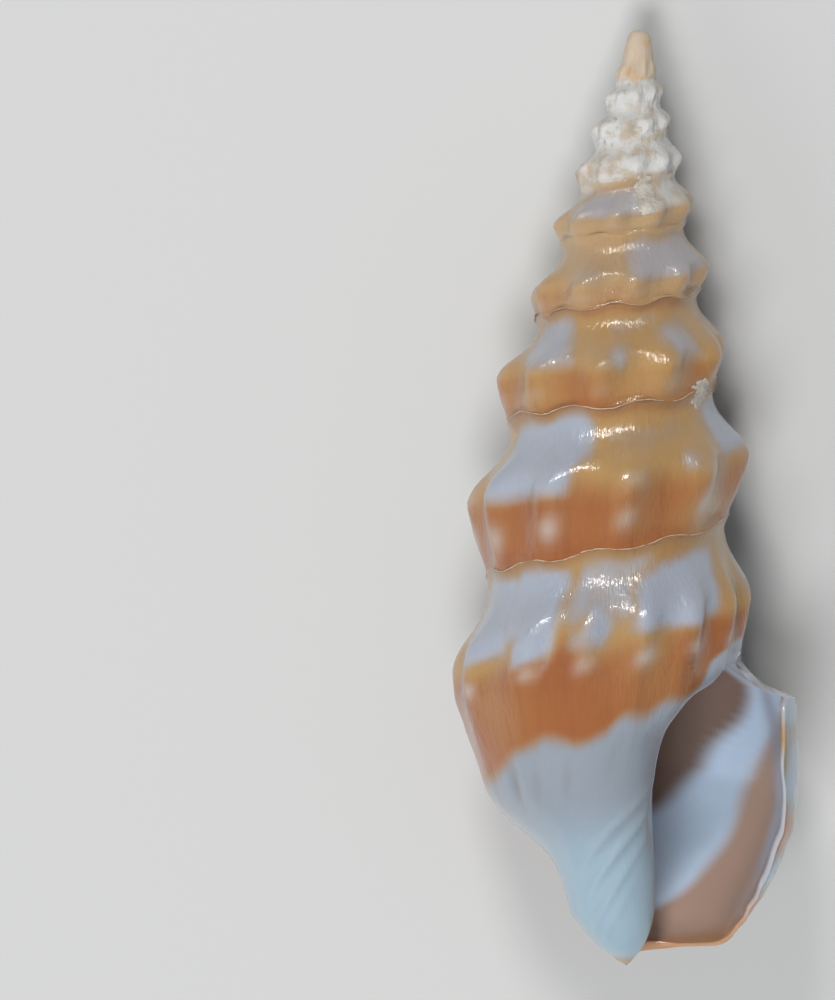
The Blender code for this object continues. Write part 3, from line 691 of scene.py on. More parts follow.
def fold_lines(turn, share, half_turn, half_share):
    """The leaning folds on the base, each as strong as its table says, and 0 beside them."""
    total = np.zeros_like(turn)
    for fold_turn, fold_share, strength in FOLDS:
        leaning = fold_turn - FOLD_LEAN * (share - fold_share)
        across = strength * bell(turn, leaning, half_turn)
        total = total + across * bell(share, fold_share + 0.03, half_share)
    return total


def small_relief(turn, share, zone):
    """Millimetres that the surface stands out from the plain profile."""
    scar = SCAR_HEIGHT * bell(turn, curve(share, SCAR), 0.006)
    relief = scar * eased((share - 0.3) / 0.1) * (share < 0.98)
    relief = relief - FOLD_DEPTH * fold_lines(turn, share, 0.010, 0.08)
    for cord_turn, cord_share, strength in CORDS:
        slanting = cord_share - CORD_SLOPE * (turn - cord_turn)
        across = CORD_HEIGHT * strength * bell(share, slanting, 0.019)
        relief = relief + across * bell(turn, cord_turn - 0.05, 0.10)
    relief = relief + LIP_HUMP * bell(turn, 0.22, 0.035) * bell(share, 1.27, 0.2)
    ledge = SUTURE_LEDGE * bell(share, 0.0, 0.03) * (turn < 4)
    relief = relief + ledge - LEDGE_HOLLOW * bell(share, 0.1, 0.05) * (turn < 5)
    return relief * (zone == OUTSIDE) * eased(turn / 0.05)


def rib_count(turn):
    """The number of the rib at a turn, with fractions between two ribs."""
    return np.interp(turn, RIB_PLACES, np.arange(len(RIB_PLACES)))


def rib_wave(turn):
    """1 on a rib's crest and 0 between two ribs."""
    return 0.5 + 0.5 * np.cos(2 * math.pi * rib_count(turn))


def suture_wave(turn, share):
    """How far the suture dips below each rib of the whorl above it, in millimetres."""
    below = bell(share, 0, 0.13) * (share < 0.5) * (2 * rib_wave(turn + 1) - 1)
    above = bell(share, 1, 0.13) * (share > 0.5) * (turn > 1) * (share < 1) * (2 * rib_wave(turn) - 1)
    return SUTURE_WAVE * (below + above) * eased((5 - turn) / 2) * eased((turn - 0.1) / 0.3)


def point_attributes(rows):
    """What the winding tree reads at each point."""
    turn, depth, radius, rib, rib_turn, share, zone = rows.T
    outside = zone == OUTSIDE
    depth = depth + suture_wave(turn, share) * outside
    chipped = curve(share, CHIPS) * np.exp(-np.maximum(turn, 0) / CHIP_REACH)
    # Rough on the outside of the large whorls, smoother on the base, the spire and inside
    uneven = eased(radius / 0.8) * (1 - 0.8 * zone) * (1 - 0.85 * eased((share - 1.2) / 0.2))
    crust = eased((turn - 4.7) / 0.8) * (1 - 0.6 * eased((turn - 8.3) / 0.4)) * outside
    return {
        "turn": turn + chipped, "depth": depth, "radius": radius * curve(share, NARROW_TIP),
        "rib": rib, "rib_count": rib_count(rib_turn),
        "bend": curve(depth, BEND) * (depth < HEIGHT) + CANAL_TIP * (depth >= HEIGHT),
        "uneven": uneven, "relief": small_relief(turn, share, zone), "crust": crust,
    }


heights = small_relief(*strip_points[:, [0, 5, 6]].T)
print("relief from", round(float(heights.min()), 3), "to", round(float(heights.max()), 3), "mm")

# %% [markdown]
# ## Where the markings lie
#
# The mantle lays colour down at the growing edge: a band of orange-brown round the middle of each
# whorl, white clouds on the ramp above it, a soft pale spot on every rib, and white again below the
# band on the last whorl. So each marking is a soft patch in turns and shares, set from what shows on
# the front and the back. Slow waves shift the patches a little, so that no edge runs straight.

# %% White clouds, pale spots and the white base
# First and last turn, first and last share, lean along the growth lines, strength
CLOUDS = (
    (0.135, 0.268, 0, 0.53, -0.06, 1), (0.352, 0.372, 0.08, 0.3, 0, 0.5),
    (0.405, 0.5, 0.08, 0.6, 0.05, 0.95), (0.57, 0.665, 0.06, 0.58, 0, 1),
    (0.655, 0.742, 0.06, 0.5, 0, 1), (0.69, 0.735, 0.4, 0.72, -0.03, 1),
    (0.768, 0.8, 0.35, 0.68, 0, 0.9), (0.745, 0.84, 0.06, 0.5, -0.06, 0.6),
    (0.834, 0.952, 0.15, 0.6, -0.06, 1),
    (1.02, 1.06, 0.25, 0.5, 0, 0.8), (1.085, 1.288, 0.02, 0.48, -0.03, 1),
    (1.35, 1.52, 0.12, 0.55, 0.06, 0.85), (1.605, 1.752, 0.06, 0.58, -0.03, 1),
    (1.775, 1.91, 0.18, 0.3, 0, 0.4), (1.885, 1.92, 0.4, 0.56, 0, 0.6),
    (1.965, 2.135, 0.07, 0.47, 0, 1), (2.16, 2.32, 0.05, 0.5, 0, 1),
    (2.4, 2.43, 0.38, 0.56, 0, 0.5), (2.6, 2.7, 0.08, 0.5, 0.08, 0.85),
    (2.77, 2.81, 0.35, 0.58, 0, 0.7), (2.76, 2.87, 0.14, 0.26, 0, 0.45),
    (2.87, 2.93, 0.22, 0.55, 0.08, 0.7), (3.085, 3.195, 0.06, 0.5, 0.06, 0.9),
    (3.28, 3.318, 0.25, 0.5, 0, 0.6), (3.69, 3.77, 0.34, 0.52, 0, 0.5),
    (3.8, 4.01, 0.12, 0.54, 0.04, 0.95), (4.24, 4.42, 0.2, 0.52, 0, 0.8),
    (4.64, 4.86, 0.15, 0.55, 0, 0.9),
)
# The share at which the white base begins, by the turn
WHITE_BASE = (
    (0, 2.3), (0.22, 2.2), (0.26, 1.95), (0.3, 1.82), (0.39, 1.7), (0.44, 1.45), (0.5, 1.28),
    (0.61, 1.25), (0.637, 1.21), (0.69, 1.18), (0.721, 1.16), (0.76, 1.17), (0.797, 1.175),
    (0.827, 1.12), (0.85, 1.12), (0.876, 1.09), (0.895, 1.11), (0.925, 1.10), (0.945, 1.0),
    (0.965, 0.93), (1, 0.9),
)
SMALL_SPOTS = ((0.361, 0.17), (0.355, 0.57), (0.29, 0.75), (0.217, 0.78), (0.322, 1.31))
# Millimetres: a patch's soft edge, and what a whorl's height is more than its radius
SOFT_EDGE = 0.85
RAMP_LENGTH = 0.75
SPOT_SHARE, TIP_SPOT_SHARE = 0.8, 0.53


def waves(turn, share, seed, pitch_turn, pitch_share, count=5):
    """Smooth unevenness between about -1 and 1 in turns and shares."""
    picks = np.random.default_rng(seed)
    total = np.zeros_like(turn)
    for _ in range(count):
        a, b = picks.uniform(-1, 1, 2)
        phase = a * turn / pitch_turn + b * share / pitch_share + picks.uniform()
        total += np.sin(2 * math.pi * phase)
    return total / math.sqrt(count)


def soft_patch(turn, share, t0, t1, s0, s1, lean=0.0, strength=1.0):
    """1 inside a patch of turns and shares that leans along the growth lines, 0 outside."""
    across = curve(np.array([(t0 + t1) / 2]), SHOULDER_RADIUS)[0]
    soft_t = SOFT_EDGE / (2 * math.pi * across)
    soft_s = SOFT_EDGE / (RAMP_LENGTH + across)
    level = turn - lean * (share - (s0 + s1) / 2)
    along = eased((level - t0) / soft_t + 0.5) * eased((t1 - level) / soft_t + 0.5)
    up_down = eased((share - s0) / soft_s + 0.5) * eased((s1 - share) / soft_s + 0.5)
    return strength * along * up_down


def clouds(turn, share):
    """White clouds on the ramps and the white base."""
    moved_turn = turn + 0.005 * waves(turn, share, 1, 0.05, 0.35)
    moved_share = share + 0.015 * waves(turn, share, 2, 0.06, 0.4)
    white = np.zeros_like(turn)
    for cloud in CLOUDS:
        white = np.maximum(white, soft_patch(moved_turn, moved_share, *cloud))
    base_edge = curve(turn, WHITE_BASE)
    low = eased((moved_share - base_edge) / 0.12 + 0.5) * (0.4 + 0.6 * eased((turn - 0.42) / 0.14))
    return np.maximum(white, low * (share > 0.9) * (turn < 1.05))


def pale_spots(turn, share):
    """A soft spot below each rib's tip, a fainter one on the tip, and a few odd ones."""
    spots = np.zeros_like(turn)
    picks = np.random.default_rng(7)
    for place in RIB_PLACES:
        strength, lift = picks.uniform(0.5, 0.9), picks.uniform(-0.02, 0.02)
        tall = picks.uniform(0.06, 0.09)
        near = np.abs(turn - place) < 0.06
        if place < 0.2 or not near.any():
            continue
        strength = strength * (0.3 if place < 0.55 or place > 2.1 else 1.0)
        leaning = place - 0.01 - 0.03 * (share[near] - SPOT_SHARE)
        across = bell(turn[near], leaning, 0.011 + 0.001 * place)
        spot = across * bell(share[near], SPOT_SHARE + lift, tall)
        tip_spot = 0.8 * across * bell(share[near], TIP_SPOT_SHARE, 0.06)
        spots[near] = np.maximum(spots[near], strength * np.maximum(spot, tip_spot))
    for spot_turn, spot_share in SMALL_SPOTS:
        spots = np.maximum(spots, 0.75 * bell(turn, spot_turn, 0.012) * bell(share, spot_share, 0.07))
    return spots


turn, share, inside = corner_places.T
marks = {"white": clouds(turn, share), "spots": pale_spots(turn, share)}
for name, values in marks.items():
    marks[name] = values * (inside == OUTSIDE)
print("share of the surface under white:", round(float(marks["white"].mean()), 2))

# %% [markdown]
# ## The band, the lip and the inside
#
# The orange band is deepest below the shoulder and between the ribs, and pales towards the apex.
# Near the lip the shell is thin and glassy: bands of white and orange cross it. Inside, the wall is
# bluish white with a brown glow towards the lip, where light comes through, and darker further back,
# partly its own grey-brown and partly painted shade where the mouth goes deep. The rim is pale, with
# one tan spot and an orange lower end.

# %% Band, lip and inside as numbers on the corners of the faces
# Colour, first and last turn, first and last share
LIP_BANDS = (
    ("white", 0.02, 0.150, 0.02, 0.65), ("white", 0.03, 0.135, 0.73, 1.0),
    ("orange", 0.0, 0.088, 1.03, 1.19), ("white", 0.03, 0.120, 1.22, 1.36),
    ("orange", 0.0, 0.12, 1.4, 1.53), ("orange", 0.0, 0.05, 1.5, 1.9),
    ("orange", 0.09, 0.18, 1.6, 1.9),
)
# How many turns back from the lip each zone reaches, by the share
GLASS_EDGE = ((0, 0.13), (0.3, 0.14), (0.6, 0.165), (1.0, 0.178), (1.5, 0.185), (1.7, 0.13), (2, 0.08))
# The dark zone deep in the mouth is partly the wall's own grey-brown and partly painted shade
DARK_AND_SHADE_INSIDE = (
    (0, 0.125), (0.30, 0.128), (0.38, 0.142), (0.5, 0.188), (0.6, 0.205), (0.9, 0.235), (1.1, 0.27),
    (1.3, 0.36), (2, 0.4),
)
BROWN_INSIDE = (
    (0, 0), (0.3, 0.02), (0.38, 0.085), (0.5, 0.13), (0.6, 0.148), (0.9, 0.155), (1.3, 0.158),
    (1.62, 0.165), (2, 0.18),
)
BLUE_LINE = ((0, 0.12), (0.59, 0.092), (1.21, 0.064), (2, 0.05))


def deep_band(turn, share):
    """How strong the orange-brown is: light and olive on the ramp, deep below the shoulder."""
    moved = share + 0.03 * waves(turn, share, 3, 0.08, 0.5)
    earlier = eased((turn - 1) / 0.3)
    # It begins about the shoulder, a little higher and more sharply on the earlier whorls
    below = 0.85 * eased((moved - 0.47 + 0.09 * earlier) / (0.42 - 0.12 * earlier))
    below = below * (1 - 0.5 * bell(turn, 1.94, 0.07))
    # Deeper just above a suture, between the ribs and on the back, paler towards the apex
    near_suture = 0.3 * eased((share - 0.85) / 0.15) * (turn > 1)
    hollows = 0.22 * (1 - rib_wave(turn)) * bell(share, 0.72, 0.2) * (turn > 0.2)
    towards_apex = np.clip(1.1 - 0.27 * np.maximum(turn - 0.6, 0), 0.12, 1)
    back = 0.55 * bell(turn, 0.37, 0.09) * (share < 0.7)
    top_edge = 0.35 * bell(share, 0.04, 0.08) * (share < 0.5) * earlier * (turn < 3)
    slow_change = (0.12 + 0.1 * (turn < 1)) * waves(turn, share, 4, 0.15, 0.9)
    deep = (below + near_suture + hollows) * towards_apex
    return np.clip(deep + (back + top_edge) + slow_change, 0, 1)


def lip_bands(turn, share, colour):
    """The bands of one colour behind the lip, fading as they go back."""
    uneven = turn + 0.006 * waves(turn, share, 5, 0.1, 0.2)
    found = np.zeros_like(turn)
    for name, t0, t1, s0, s1 in LIP_BANDS:
        if name == colour:
            fading = 1 - 0.5 * np.clip(turn / t1, 0, 1) ** 2
            found = np.maximum(found, fading * soft_patch(uneven, share, t0 - 0.05, t1, s0, s1))
    return found


slow = waves(turn, share, 6, 0.2, 0.6)
# Up the spire, the same on both sides of a suture
height_turn = turn - share + 0.5 + 0.25 * waves(turn, share, 8, 0.3, 0.7)
scar_ends = eased((share - 0.3) / 0.1) * eased((0.9 - share) / 0.15)
# A mark on the outside is kept off the inside, where the same turns and shares come again
outer_marks = {
    "deep": deep_band(turn, share),
    "chalk": eased((height_turn - 4.95) / 0.6) * (1 - 0.6 * eased((height_turn - 8.0) / 0.6)),
    "spire": height_turn / 10 * (turn > 1.1),
    # Painted shade: a brown darkening along the top of each whorl, just below the suture
    "suture_shade": bell(share, 0.0, 0.05) * (turn < 3.4) * (share < 1),
    "glass": eased((curve(share, GLASS_EDGE) - turn) / 0.03 + 0.5),
    "lip_white": lip_bands(turn, share, "white"),
    "lip_orange": lip_bands(turn, share, "orange"),
    "scar": bell(turn, curve(share, SCAR), 0.005) * scar_ends,
    # Painted shade in the grooves of the folds on the base
    "fold_shade": np.clip(fold_lines(turn, share, 0.009, 0.07), 0, 1),
}
marks.update({name: values * (inside == OUTSIDE) for name, values in outer_marks.items()})
marks.update({
    "inside": inside,
    # Darker deep in the mouth: partly the wall's own grey-brown, partly painted shade
    "inside_dark_and_shade": eased((turn - curve(share, DARK_AND_SHADE_INSIDE)) / 0.028 + 0.5),
    "inside_brown": eased((curve(share, BROWN_INSIDE) + 0.004 * slow - turn) / 0.03 + 0.5),
    "inside_line": bell(turn, curve(share, BLUE_LINE), 0.014) * eased((1.25 - share) / 0.3),
    "inside_orange": eased((share - 1.25) / 0.2) * eased((0.07 - turn) / 0.06) * inside,
    "rim": eased((0.012 - turn) / 0.01) * eased((1.3 - share) / 0.2) * inside,
    "rim_tan": bell(share, 0.40, 0.035) * eased((0.03 - turn) / 0.02) * inside,
})
print("marks on the corners of the faces:", ", ".join(marks))

# %% [markdown]
# ## The strip as a mesh with attributes
#
# Geometry Nodes and shaders read named attributes, so every number found above is stored on the
# mesh: shape on the points, and colour on the corners, because at a suture one point belongs to
# two whorls of different colour. The turn and the share also make a UV map for the noise.

# %% The strip as a mesh
used, compact = np.unique(np.concatenate(faces), return_inverse=True)
sizes = [len(face) for face in faces]
face_list = [list(map(int, chunk)) for chunk in np.split(compact, np.cumsum(sizes)[:-1])]
strip = bpy.data.meshes.new("strip")
# The flat places are only a start, kept apart for each turn and depth
flat = np.c_[strip_points[used, 0], strip_points[used, 1] / HEIGHT, np.zeros(len(used))]
strip.from_pydata(flat.tolist(), [], face_list)


def store(mesh, domain, attributes):
    """Puts named numbers on the points or on the face corners of a mesh."""
    for name, values in attributes.items():
        made = mesh.attributes.new(name, "FLOAT", domain)
        made.data.foreach_set("value", np.asarray(values, np.float32))


store(strip, "POINT", point_attributes(strip_points[used]))
store(strip, "CORNER", marks)
wound = strip.uv_layers.new(name="wound")
wound.data.foreach_set("uv", corner_places[:, :2].astype(np.float32).ravel())
print("strip mesh:", len(strip.vertices), "points,", len(strip.polygons), "faces")

# %% [markdown]
# ## Porcelain, pigment and glaze
#
# The shell is glossy aragonite: the colour lies in it and just under a clear glaze. One
# Principled shader does this with a little subsurface light and a thin coat. The colour is mixed
# from the marks, and noise laid along the growth lines gives the patches their uneven edge.

# %% Colours and how they are mixed
def srgb(*screen):
    """Linear colour from 0 to 255 screen values."""
    parts = [value / 255 for value in screen]
    return (*(p / 12.92 if p <= 0.04045 else ((p + 0.055) / 1.055) ** 2.4 for p in parts), 1.0)


SCREEN_COLOURS = {
    "tan": (166, 131, 82), "pale tan": (168, 140, 104), "dust": (178, 166, 148),
    "orange": (147, 89, 47), "red": (130, 74, 42), "olive": (148, 118, 68),
    "cloud": (154, 160, 172), "lilac": (157, 152, 154), "blue": (137, 145, 154),
    "canal": (144, 165, 177), "spot": (176, 165, 154), "chalk": (194, 193, 190),
    # On the next line, the browns for below the suture and for the fold grooves are painted shade
    "suture_shade": (126, 90, 62), "glass": (128, 128, 114), "fold_shade": (120, 104, 86),
    "tip": (190, 160, 120), "lip white": (150, 170, 188), "lip orange": (165, 106, 66),
    # On the next line, the dark inside colour is partly painted shade deep in the mouth
    "lip edge": (172, 128, 90), "inside": (203, 224, 246), "inside dark and shade": (132, 112, 102),
    "inside brown": (175, 148, 133), "inside line": (160, 168, 184),
}
COLOURS = {name: srgb(*screen) for name, screen in SCREEN_COLOURS.items()}


def new_material(name):
    """A material, the builder of its nodes, and its Principled shader."""
    material = bpy.data.materials.new(name)
    material.use_nodes = True
    return material, Tree(material.node_tree), material.node_tree.nodes["Principled BSDF"]


def mixed(build, factor, one, two):
    """The colour one where the factor is 0 and two where it is 1."""
    made = build.node("ShaderNodeMix", {"data_type": "RGBA"})
    # The mix node's sockets share their names, so its colour ones are found by number
    for socket, value in ((0, factor), (6, one), (7, two)):
        build.put(made, socket, value)
    return made.outputs[2]


def layered(build, colour, layers):
    """Lays named colours over a colour, one after another, each as strong as its factor."""
    for factor, name in layers:
        colour = mixed(build, factor, colour, COLOURS[name])
    return colour


def mark(build, name):
    """What a mark of the strip says at each place."""
    return build.node("ShaderNodeAttribute", {"attribute_name": name}).outputs["Fac"]


def along_growth(build, across, along, detail=3.0):
    """Noise on the strip's own map, drawn out along the growth lines."""
    place = build.node("ShaderNodeUVMap", {"uv_map": "wound"})
    scaled = build.node("ShaderNodeMapping", Vector=place.outputs[0], Scale=(across, along, 1.0))
    noise = build.node("ShaderNodeTexNoise", Vector=scaled.outputs[0], Scale=1.0, Detail=detail)
    return noise.outputs[0]


def in_space(build, per_metre, detail=3.0):
    """Noise in the shell's own space."""
    place = build.node("ShaderNodeTexCoord").outputs["Object"]
    return build.node("ShaderNodeTexNoise", Vector=place, Scale=per_metre, Detail=detail).outputs[0]


def sharpened(build, value, low, high):
    """0 up to the low value, 1 from the high value on, smooth between."""
    made = build.node("ShaderNodeMapRange", {"interpolation_type": "SMOOTHSTEP"}, Value=value)
    build.put(made, "From Min", low)
    build.put(made, "From Max", high)
    return made.outputs[0]

# %% The colour of the outside and of the inside
def outer_colour(build, turn_back, down, streaks, crusted):
    """The tan and orange whorls with their clouds, spots, lip bands, painted shade below the suture,
    and crust.

    Two numbers after a mark say where on it a colour begins and where it is full.
    """
    ragged = build.math("SUBTRACT", along_growth(build, 40.0, 6.0), 0.5)

    def edged(name):
        moved = build.math("MULTIPLY_ADD", ragged, 0.35, mark(build, name))
        return sharpened(build, moved, 0.06, 0.9)

    spire, deep = mark(build, "spire"), mark(build, "deep")
    pigment = layered(build, COLOURS["tan"], (
        (sharpened(build, spire, 0.26, 0.44), "pale tan"),
        (sharpened(build, spire, 0.49, 0.55), "dust"),
        (sharpened(build, deep, 0.05, 0.9), "orange"),
        (build.times(build.times(sharpened(build, streaks, 0.42, 0.8), deep), 0.6), "red"),
        (build.times(sharpened(build, mark(build, "white"), 0.02, 0.4), 0.45), "olive"),
        (mark(build, "spots"), "spot"),
    ))
    base = layered(build, COLOURS["blue"], (
        (sharpened(build, down, 1.35, 1.7), "canal"),
        # Painted shade in the fold grooves, streaked along the growth lines
        (build.times(mark(build, "fold_shade"), build.times(streaks, 0.8)), "fold_shade"),
        (sharpened(build, down, 1.95, 2.02), "tan"),
    ))
    cloud = layered(build, COLOURS["cloud"], ((sharpened(build, turn_back, 2.0, 4.0), "lilac"),))
    white = mixed(build, sharpened(build, down, 0.9, 1.2), cloud, base)
    return layered(build, mixed(build, edged("white"), pigment, white), (
        (build.times(mark(build, "scar"), 0.3), "spot"),
        (sharpened(build, spire, 0.79, 0.86), "tip"),
        (build.times(mark(build, "glass"), 0.88), "glass"),
        (build.times(edged("lip_orange"), 0.75), "lip orange"),
        (edged("lip_white"), "lip white"),
        # Painted shade just below the suture
        (build.times(mark(build, "suture_shade"), 0.7), "suture_shade"),
        (crusted, "chalk"),
    ))


def inner_colour(build):
    """Bluish white, with the brown glow near the lip and, farther back, a darker grey-brown that is
    partly painted shade.
    """
    return layered(build, COLOURS["inside"], (
        (mark(build, "inside_brown"), "inside brown"),
        (build.times(mark(build, "inside_line"), 0.75), "inside line"),
        # Painted shade deep in the mouth, over the wall's own grey-brown
        (mark(build, "inside_dark_and_shade"), "inside dark and shade"),
        (build.times(mark(build, "rim"), 0.6), "lip white"),
        (mark(build, "rim_tan"), "tan"),
        (build.times(mark(build, "inside_orange"), 0.8), "lip edge"),
    ))

# %% The shell's material, and the shell wound from its strip
# The same all over the surface
GLAZE = {
    "Subsurface Weight": 0.25, "Subsurface Radius": (1.0, 0.6, 0.4), "Subsurface Scale": 0.3 * MM,
    "Coat Roughness": 0.06,
}
BUMP_HEIGHT = 0.04 * MM
MOTTLE_PER_METRE = 2600.0
# How closely noise follows across and along the growth lines, in turns and shares
STREAKS, FINE_LINES, COARSE_LINES = (60.0, 1.6), (420.0, 12.0, 2.0), (120.0, 14.0, 2.0)


def shell_material():
    material, build, shader = new_material("shell porcelain")
    place = build.node("ShaderNodeUVMap", {"uv_map": "wound"})
    split = build.node("ShaderNodeSeparateXYZ", Vector=place.outputs[0])
    turn_back, down = split.outputs[0], split.outputs[1]
    inner = mark(build, "inside")
    streaks = along_growth(build, *STREAKS)
    mottle = sharpened(build, in_space(build, MOTTLE_PER_METRE, 4.0), 0.31, 0.54)
    crusted = build.times(mark(build, "chalk"), mottle)
    outer = outer_colour(build, turn_back, down, streaks, crusted)
    build.put(shader, "Base Color", mixed(build, inner, outer, inner_colour(build)))
    build.put(shader, "Roughness", build.math("MULTIPLY_ADD", crusted, 0.5, 0.3))
    build.put(shader, "Coat Weight", build.math("MULTIPLY_ADD", crusted, -0.7, 0.8))
    # Growth lines: strong on the whorls, weaker on the base and weakest inside
    fine, coarse = along_growth(build, *FINE_LINES), along_growth(build, *COARSE_LINES)
    lines = build.math("MULTIPLY_ADD", fine, 0.6, coarse)
    not_inside = build.math("MULTIPLY_ADD", inner, -0.85, 1.0)
    above_base = build.math("MULTIPLY_ADD", sharpened(build, down, 1.0, 1.3), -0.8, 1.0)
    height = build.times(lines, build.times(not_inside, above_base))
    bump = build.node("ShaderNodeBump", Height=height, Strength=0.5, Distance=BUMP_HEIGHT)
    build.put(shader, "Normal", bump.outputs[0])
    build.put(shader, "Coat Normal", bump.outputs[0])
    for name, value in GLAZE.items():
        build.put(shader, name, value)
    return material


porcelain = shell_material()
shell = made_by_nodes("whole_shell", strip, winding_tree(porcelain))
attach(shell, "root")
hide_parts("shell")

# %% [markdown]
# ## The suture's pale thread
#
# Where a whorl is laid on the one above, its top edge stands as a thin ragged line of pale lime,
# with a brown shade below it. The line follows the strip's own top row, so a curve is taken from
# the finished shell and given a thin, uneven round section by Geometry Nodes.

# %% Thread along the suture
THREAD_TURNS = (0.02, 3.4)
# The thread's thickness as a share of the full one, by the turn
THREAD_SIZE = ((0, 0.6), (0.2, 1.0), (1.2, 1.0), (2, 0.85), (2.7, 0.5), (3.1, 0.45), (3.4, 0.1))
SPECKS_PER_METRE = 5000.0


def plain_material(name, colour, roughness):
    """A stony material whose tone varies a little from place to place."""
    material, build, shader = new_material(name)
    darker = tuple(0.8 * part for part in colour[:3]) + (1.0,)
    spots = sharpened(build, in_space(build, SPECKS_PER_METRE), 0.35, 0.6)
    build.put(shader, "Base Color", mixed(build, spots, darker, colour))
    build.put(shader, "Roughness", roughness)
    return material


WAVER_PER_METRE, THICKNESS_PER_METRE = 2200.0, 6000.0


def thread_tree(material):
    sizes = {"Thickness": 0.016, "Waviness": 0.11, "Spacing": 0.03, "Sides": 6}
    build, given, output = new_geometry_tree("ragged thread", sizes)
    line = build.node("GeometryNodeMeshToCurve", Mesh=given["Geometry"])
    even = build.node("GeometryNodeResampleCurve", {"mode": "LENGTH"}, Curve=line.outputs[0])
    build.put(even, "Length", build.times(given["Spacing"], MM))
    place = build.node("GeometryNodeInputPosition").outputs[0]
    waver = build.node("ShaderNodeTexNoise", Vector=place, Scale=WAVER_PER_METRE, Detail=3.0)
    centred = build.vector_math("SUBTRACT", waver.outputs["Color"], (0.5, 0.5, 0.5))
    reach = build.times(given["Waviness"], MM)
    offset = build.node("ShaderNodeVectorMath", {"operation": "SCALE"}, Vector=centred, Scale=reach)
    moved = build.node("GeometryNodeSetPosition", Geometry=even.outputs[0], Offset=offset.outputs[0])
    thick = build.node("ShaderNodeTexNoise", Vector=place, Scale=THICKNESS_PER_METRE, Detail=2.0)
    uneven = build.node("ShaderNodeMapRange", Value=thick.outputs[0], From_Min=0.3, From_Max=0.7)
    build.put(uneven, "To Min", 0.35)
    build.put(uneven, "To Max", 1.25)
    size = build.times(uneven.outputs[0], named_attribute(build, "size"))
    radius = build.times(build.times(size, given["Thickness"]), MM)
    ring = build.node("GeometryNodeCurvePrimitiveCircle", Resolution=given["Sides"], Radius=1.0)
    tube = build.node(
        "GeometryNodeCurveToMesh", Curve=moved.outputs[0], Profile_Curve=ring.outputs[0], Scale=radius
    )
    build.put(tube, "Fill Caps", True)
    smooth = build.node("GeometryNodeSetShadeSmooth", Geometry=tube.outputs[0])
    end_tree(build, output, smooth.outputs[0], material)
    return build.tree


first, final = (round(value * PER_TURN) for value in THREAD_TURNS)
top_row = np.searchsorted(used, side[first:final, 0])
line_points = [shell.data.vertices[int(i)].co for i in top_row]
line = bpy.data.meshes.new("suture line")
line.from_pydata(line_points, [(i, i + 1) for i in range(len(line_points) - 1)], [])
store(line, "POINT", {"size": curve(column_turn[first:final], THREAD_SIZE)})
suture_lime = plain_material("suture lime", srgb(190, 164, 140), 0.5)
thread = made_by_nodes("suture_thread", line, thread_tree(suture_lime))
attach(thread, "root")

# %% [markdown]
# ## Crumbs of lime
#
# A shell from the sea floor carries crumbs of lime that stuck to it: a few along the sutures, a
# streak of them on the back of the spire, and fine grains on the oldest whorls. They are many
# small lumps of about the same kind, so Geometry Nodes scatter them over the finished surface,
# as thick as a mask says.

# %% Scattered crumbs
# Turn and share of each heap, and its half width in each
CRUMB_HEAPS = (
    (2.949, 0.97, 0.014, 0.10), (1.949, 0.03, 0.014, 0.06), (4.836, 0.25, 0.022, 0.24),
    (1.433, 0.97, 0.010, 0.06), (0.433, 0.05, 0.010, 0.09), (2.075, 0.92, 0.006, 0.05),
    (1.075, 0.02, 0.006, 0.04), (3.32, 0.10, 0.020, 0.13), (4.334, 0.95, 0.012, 0.08),
    (4.325, 0.7, 0.005, 0.2), (4.322, 0.35, 0.006, 0.25),
)


def crumb_mask(turn, share):
    """How thick the crumbs lie: a thin dust up the spire, and the heaps."""
    mask = 0.006 * eased((turn - 5.0) / 0.8) * (turn < 8.2)
    for heap_turn, heap_share, half_turn, half_share in CRUMB_HEAPS:
        heap = bell(turn, heap_turn, half_turn) * bell(share, heap_share, half_share)
        mask = np.maximum(mask, heap * (heap > 0.15))
    return mask


def crumb_tree(material):
    sizes = {
        "Number per square mm": 900.0, "Smallest": 0.03, "Largest": 0.08, "Flatness": 0.3, "Seed": 3,
    }
    build, given, output = new_geometry_tree("scattered crumbs", sizes)
    surface, seed = given["Geometry"], given["Seed"]
    density = build.times(given["Number per square mm"], named_attribute(build, "crumb"))
    points = build.node("GeometryNodeDistributePointsOnFaces", Mesh=surface, Seed=seed)
    build.put(points, "Density", build.math("DIVIDE", density, MM * MM))
    lump = build.node("GeometryNodeMeshIcoSphere", Radius=1.0, Subdivisions=1).outputs[0]
    size = build.node("FunctionNodeRandomValue", {"data_type": "FLOAT_VECTOR"}, Seed=seed)
    for limit, name in enumerate(("Smallest", "Largest")):
        wide = build.times(given[name], MM)
        build.put(size, limit, build.xyz(wide, wide, build.times(wide, given["Flatness"])))
    heap = build.node("GeometryNodeInstanceOnPoints", Points=points.outputs[0], Instance=lump)
    build.put(heap, "Scale", size.outputs[0])
    build.put(heap, "Rotation", points.outputs["Rotation"])
    end_tree(build, output, heap.outputs[0], material)
    return build.tree


bed = shell.data.copy()
mask = crumb_mask(strip_points[used, 0], strip_points[used, 5]) * (strip_points[used, 6] == OUTSIDE)
store(bed, "POINT", {"crumb": mask})
crumb_lime = plain_material("crumb lime", srgb(184, 178, 168), 0.8)
crumbs = made_by_nodes("lime_crumbs", bed, crumb_tree(crumb_lime))
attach(crumbs, "root")

# %% [markdown]
# ## Table and light
#
# The photo shows the shell in front of black, lit by a small bright lamp: the sparkles above each
# rib show that it stood on the apex side. Here the shell lies on a plain pale table. Two large
# weak lights fill its shadows, and they are hidden from its gloss so that it shows one lamp only.

